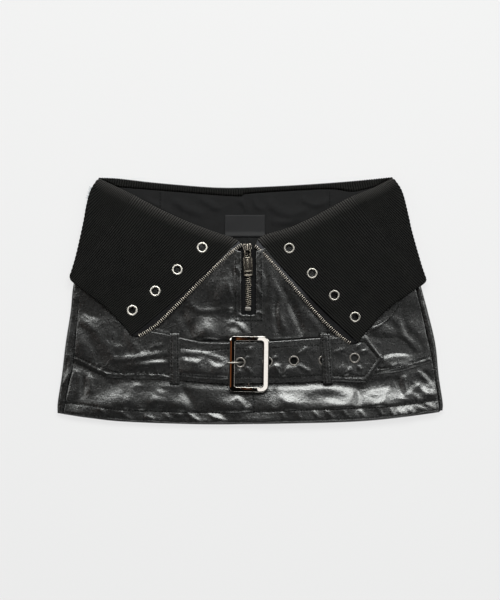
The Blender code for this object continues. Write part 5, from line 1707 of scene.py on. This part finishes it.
def pull_tab(axis_z):
    """The pull tab: arms round the bridge, a waisted body with raised ribs, a slot above its end bar."""
    hinge, foot = 0.8, 0.7 - TAB_LENGTH
    half = TAB_WIDTH / 2
    right = [(0, hinge), (3.2, hinge), (3.9, 0.2), (4.05, -1.0), (4.05, -7.6), (4.5, -9.0), (half, -10.4),
             (half, foot + 0.6), (half - 0.6, foot), (0, foot)]
    outline = right + [(-x, y) for x, y in right[-2:0:-1]]
    window = round_corners(5.0, 8.0, (1.2, 1.2, 1.2, 1.2), 5) + (0, -4.9)
    slot = round_corners(8.0, 2.6, (0.7, 0.7, 0.7, 0.7), 5) + (0, foot + 3.0)
    body = rim_and_holes(outline, [window[::-1], slot[::-1]], -PULL / 2, PULL / 2, 0.3)
    ribs = bmesh.new()
    top = PULL / 2
    end_bar = ((-4.5, foot + 0.9), (4.5, foot + 0.9), 0.8, 0.7)
    for start, end, wide, high in (*TAB_RODS, end_bar):
        ribs.from_mesh(rod(start, end, wide, high, top - 0.1))
    turn = Matrix.Rotation(math.radians(TAB_LEAN), 4, "Z") @ Matrix.Rotation(math.radians(TAB_DIP), 4, "X")
    pieces = []
    # the tab's body takes a darker nickel than its ribs: painted shade
    for name, shape, finish in (("zip_pull_tab", body, SHADED_TAB_NICKEL), ("zip_pull_tab_ribs", ribs, WORN_NICKEL)):
        mesh = bpy.data.meshes.new(name)
        shape.to_mesh(mesh)
        shape.free()
        mesh.transform(Matrix.Translation(Vector((SLIDER_X, TAB_AXIS_Y, axis_z)) * MM) @ turn)
        mesh.polygons.foreach_set("use_smooth", [True] * len(mesh.polygons))
        mesh.set_sharp_from_angle(angle=math.radians(40))
        pieces.append(keep(f"{name}_metal", mesh, finish))
    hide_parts("zip_pull_tab")
    for piece in pieces:
        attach(piece, "pull_tab")


def bottom_stop():
    """The stop clenched over the foot of the zip, with its two legs rounded over the tape."""
    x0, y0, x1, y1 = STOP
    low = TAPE_Z + TAPE + float(lift(y1)) + GAP
    outline = round_corners(x1 - x0, y1 - y0, (1.3, 1.3, 1.3, 1.3), 5) + ((x0 + x1) / 2, (y0 + y1) / 2)
    stop = tube_mesh("zip_bottom_stop", plate_rings(outline, low, low + 1.8, 0.6))
    piece = keep("zip_bottom_stop_metal", stop, DARK_NICKEL)
    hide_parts("zip_bottom_stop")
    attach(piece, "garment")


# The sewing
# ----------

TAB_LEFT_STITCH = [(-212.2, -66.5), (-187.3, -77), (-164.8, -85.4), (-146.8, -89), (-120, -88.5),
                   (-99, -88.3)]
TAB_RIGHT_STITCH = [(97, -86.5), (125, -84), (147, -81.5), (163.8, -81.2), (176.5, -81.1), (199.6, -74.7),
                    (219, -67.5)]
TAB_RIGHT_SEAM = [(143, -39.5), (156, -32.5), (168, -22.5), (178, -10), (185.5, 3.5)]
BELT_TOP_STITCH = [(-84.7, -57), (-53.7, -60.4), (-24, -58), (23, -57.4), (47.4, -55.2), (82.5, -54.1)]
BELT_FOOT_STITCH = [(-84, -89), (-60, -91), (-24, -92.7), (23, -92.4), (47.4, -92), (86, -90.2)]
BELT_TIP_STITCH = [(100, -52), (121, -51), (138.3, -49.7), (148, -60), (155.5, -69), (150, -76), (138, -91),
                   (121, -91.5), (102, -90.5)]


def sewing():
    """Rows of stitches: the hem, the tabs, the belt, its loops, the zip's placket and the facing."""
    rows = {
        "hem": (("front_left", "front_right"), [HEM_STITCH]),
        "tabs": (("flap_left", "flap_right"), [TAB_LEFT_STITCH, TAB_RIGHT_STITCH, TAB_RIGHT_SEAM]),
        "belt": (("belt",), [BELT_TOP_STITCH, BELT_FOOT_STITCH, BELT_TIP_STITCH]),
        "placket": (("front_left", "front_right"),
                    [[(-17.4, 50), (-17.2, 10), (-17.0, -23.2)], [(13.8, 50), (13.8, 10), (13.7, -23.2)],
                     [(-17, -23.4), (0, -23.6), (13.7, -23.4)], [(1.9, -27), (4.2, -110), (5.4, -134)]]),
        "loops": (("loop_left", "loop_right"),
                  [[(top + side * 3.6, LOOP_TOP - 4), (foot + side * 3.6, LOOP_FOOT + 4)]
                   for top, foot, _ in LOOPS.values() for side in (-1, 1)]),
        "facing": (("facing",), [[(-155, 119), (-107, 99), (-75, 85)], [(-109.5, 131), (-109.5, 97)],
                                 [(97, 132), (97, 98)]]),
    }
    for name, (carriers, lines) in rows.items():
        placed = []
        for line in lines:
            smooth = path(line)(np.linspace(0, 1, max(8, int(length_of(line) / 2))))
            for carrier in carriers:
                found = set_down(surfaces[carrier], smooth, -0.02)
                if len(found) > 3:
                    placed.append(found)
        stitch = thread_mesh(STITCH_LENGTH, STITCH_THICK)
        piece = in_a_row(f"{name}_stitches", placed, stitch, STITCH_PITCH, THREAD)
        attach(piece, "garment")


# Light, floor and camera
# -----------------------


def soft_light(name, place, size, power, colour="#fdfffc"):
    """A large square light that faces the garment."""
    data = bpy.data.lights.new(name, "AREA")
    data.shape = "RECTANGLE"
    data.size, data.size_y = size
    data.energy = power
    data.color = linear(colour)[:3]
    light = bpy.data.objects.new(name, data)
    light.location = place
    light.rotation_euler = Vector(place).to_track_quat("Z", "Y").to_euler()
    bpy.context.scene.collection.objects.link(light)
    return light


# The studio, in metres
FLOOR_REACH = 14.0
CARD_HEIGHT = 1.75
CAMERA_PLACE = (-0.00012, 0.00122, 1.7315)
CAMERA_LENS, CAMERA_SENSOR = 85, 36  # mm
# what the polished buckle mirrors: colour, strength, and from where to where over the garment
CARDS = [
    ("white_card", "#ffffff", 3.6, 0.33, 0.52, -0.27, -0.03),
    ("brown_card", "#9a5a30", 1.8, -1.3, -0.84, -0.34, 0.0),
    ("brown_card_above", "#9a5a30", 1.8, -0.034, -0.022, 0.02, 0.2),
    ("brown_card_below", "#9a5a30", 1.6, -0.015, -0.009, -0.42, -0.2),
]


def studio():
    """The lights, the pale floor, what the metal mirrors and the camera."""
    scene = bpy.context.scene
    scene.view_settings.view_transform = "Standard"
    world = bpy.data.worlds.new("studio")
    world.use_nodes = True
    sky = world.node_tree
    around = add(sky, "ShaderNodeTexCoord").outputs["Generated"]
    upward = add(sky, "ShaderNodeSeparateXYZ", {"Vector": around}).outputs["Z"]
    # the dark ceiling round the camera, and the pale walls of the studio lower down
    walls = mapped(sky, upward, 0.75, 0.15, 0.010, 0.22)
    sky.links.new(walls, sky.nodes["Background"].inputs["Strength"])
    sky.nodes["Background"].inputs["Color"].default_value = (1, 1, 1, 1)
    scene.world = world
    soft_light("waist_softbox", (0.1, 1.12, 1.45), (1.7, 0.66), 92)
    soft_light("right_softbox", (1.35, 0.35, 1.1), (0.4, 1.2), 16)
    soft_light("left_softbox", (-1.35, 0.35, 1.1), (0.4, 1.2), 14)
    soft_light("hem_softbox", (0.3, -1.4, 1.1), (1.2, 0.35), 8)
    paper, _, shader = finish_named("studio_paper", "#343434", 0.9)
    shader.inputs["Emission Color"].default_value = linear("#efefef")
    shader.inputs["Emission Strength"].default_value = 0.85
    floor_mesh = bpy.data.meshes.new("floor")
    far = FLOOR_REACH
    floor_mesh.from_pydata([(-far, -far, -0.0004), (far, -far, -0.0004), (far, far, -0.0004),
                            (-far, far, -0.0004)], [], [(0, 1, 2, 3)])
    keep("floor", floor_mesh, paper)
    for name, colour, strength, x0, x1, y0, y1 in CARDS:
        paint, _, shader = finish_named(name, "#000000", 1.0)
        shader.inputs["Emission Color"].default_value = linear(colour)
        shader.inputs["Emission Strength"].default_value = strength
        mesh = bpy.data.meshes.new(name)
        mesh.from_pydata([(x, y, CARD_HEIGHT) for x, y in ((x0, y0), (x1, y0), (x1, y1), (x0, y1))], [],
                         [(3, 2, 1, 0)])
        card = keep(name, mesh, paint)
        for ray in ("camera", "diffuse", "shadow", "transmission"):
            setattr(card, f"visible_{ray}", False)
    data = bpy.data.cameras.new("camera")
    data.lens = CAMERA_LENS
    data.sensor_width = CAMERA_SENSOR
    camera = bpy.data.objects.new("camera", data)
    camera.location = CAMERA_PLACE
    scene.collection.objects.link(camera)
    scene.camera = camera


def main():
    fronts()
    back()
    side_tabs()
    belt()
    collar("left")
    collar("right")
    collar_back()
    facing_and_label()
    shorts()
    frayed_edge()
    zips()
    eyelets()
    buckle()
    pull_tab(slider())
    bottom_stop()
    sewing()
    studio()


main()
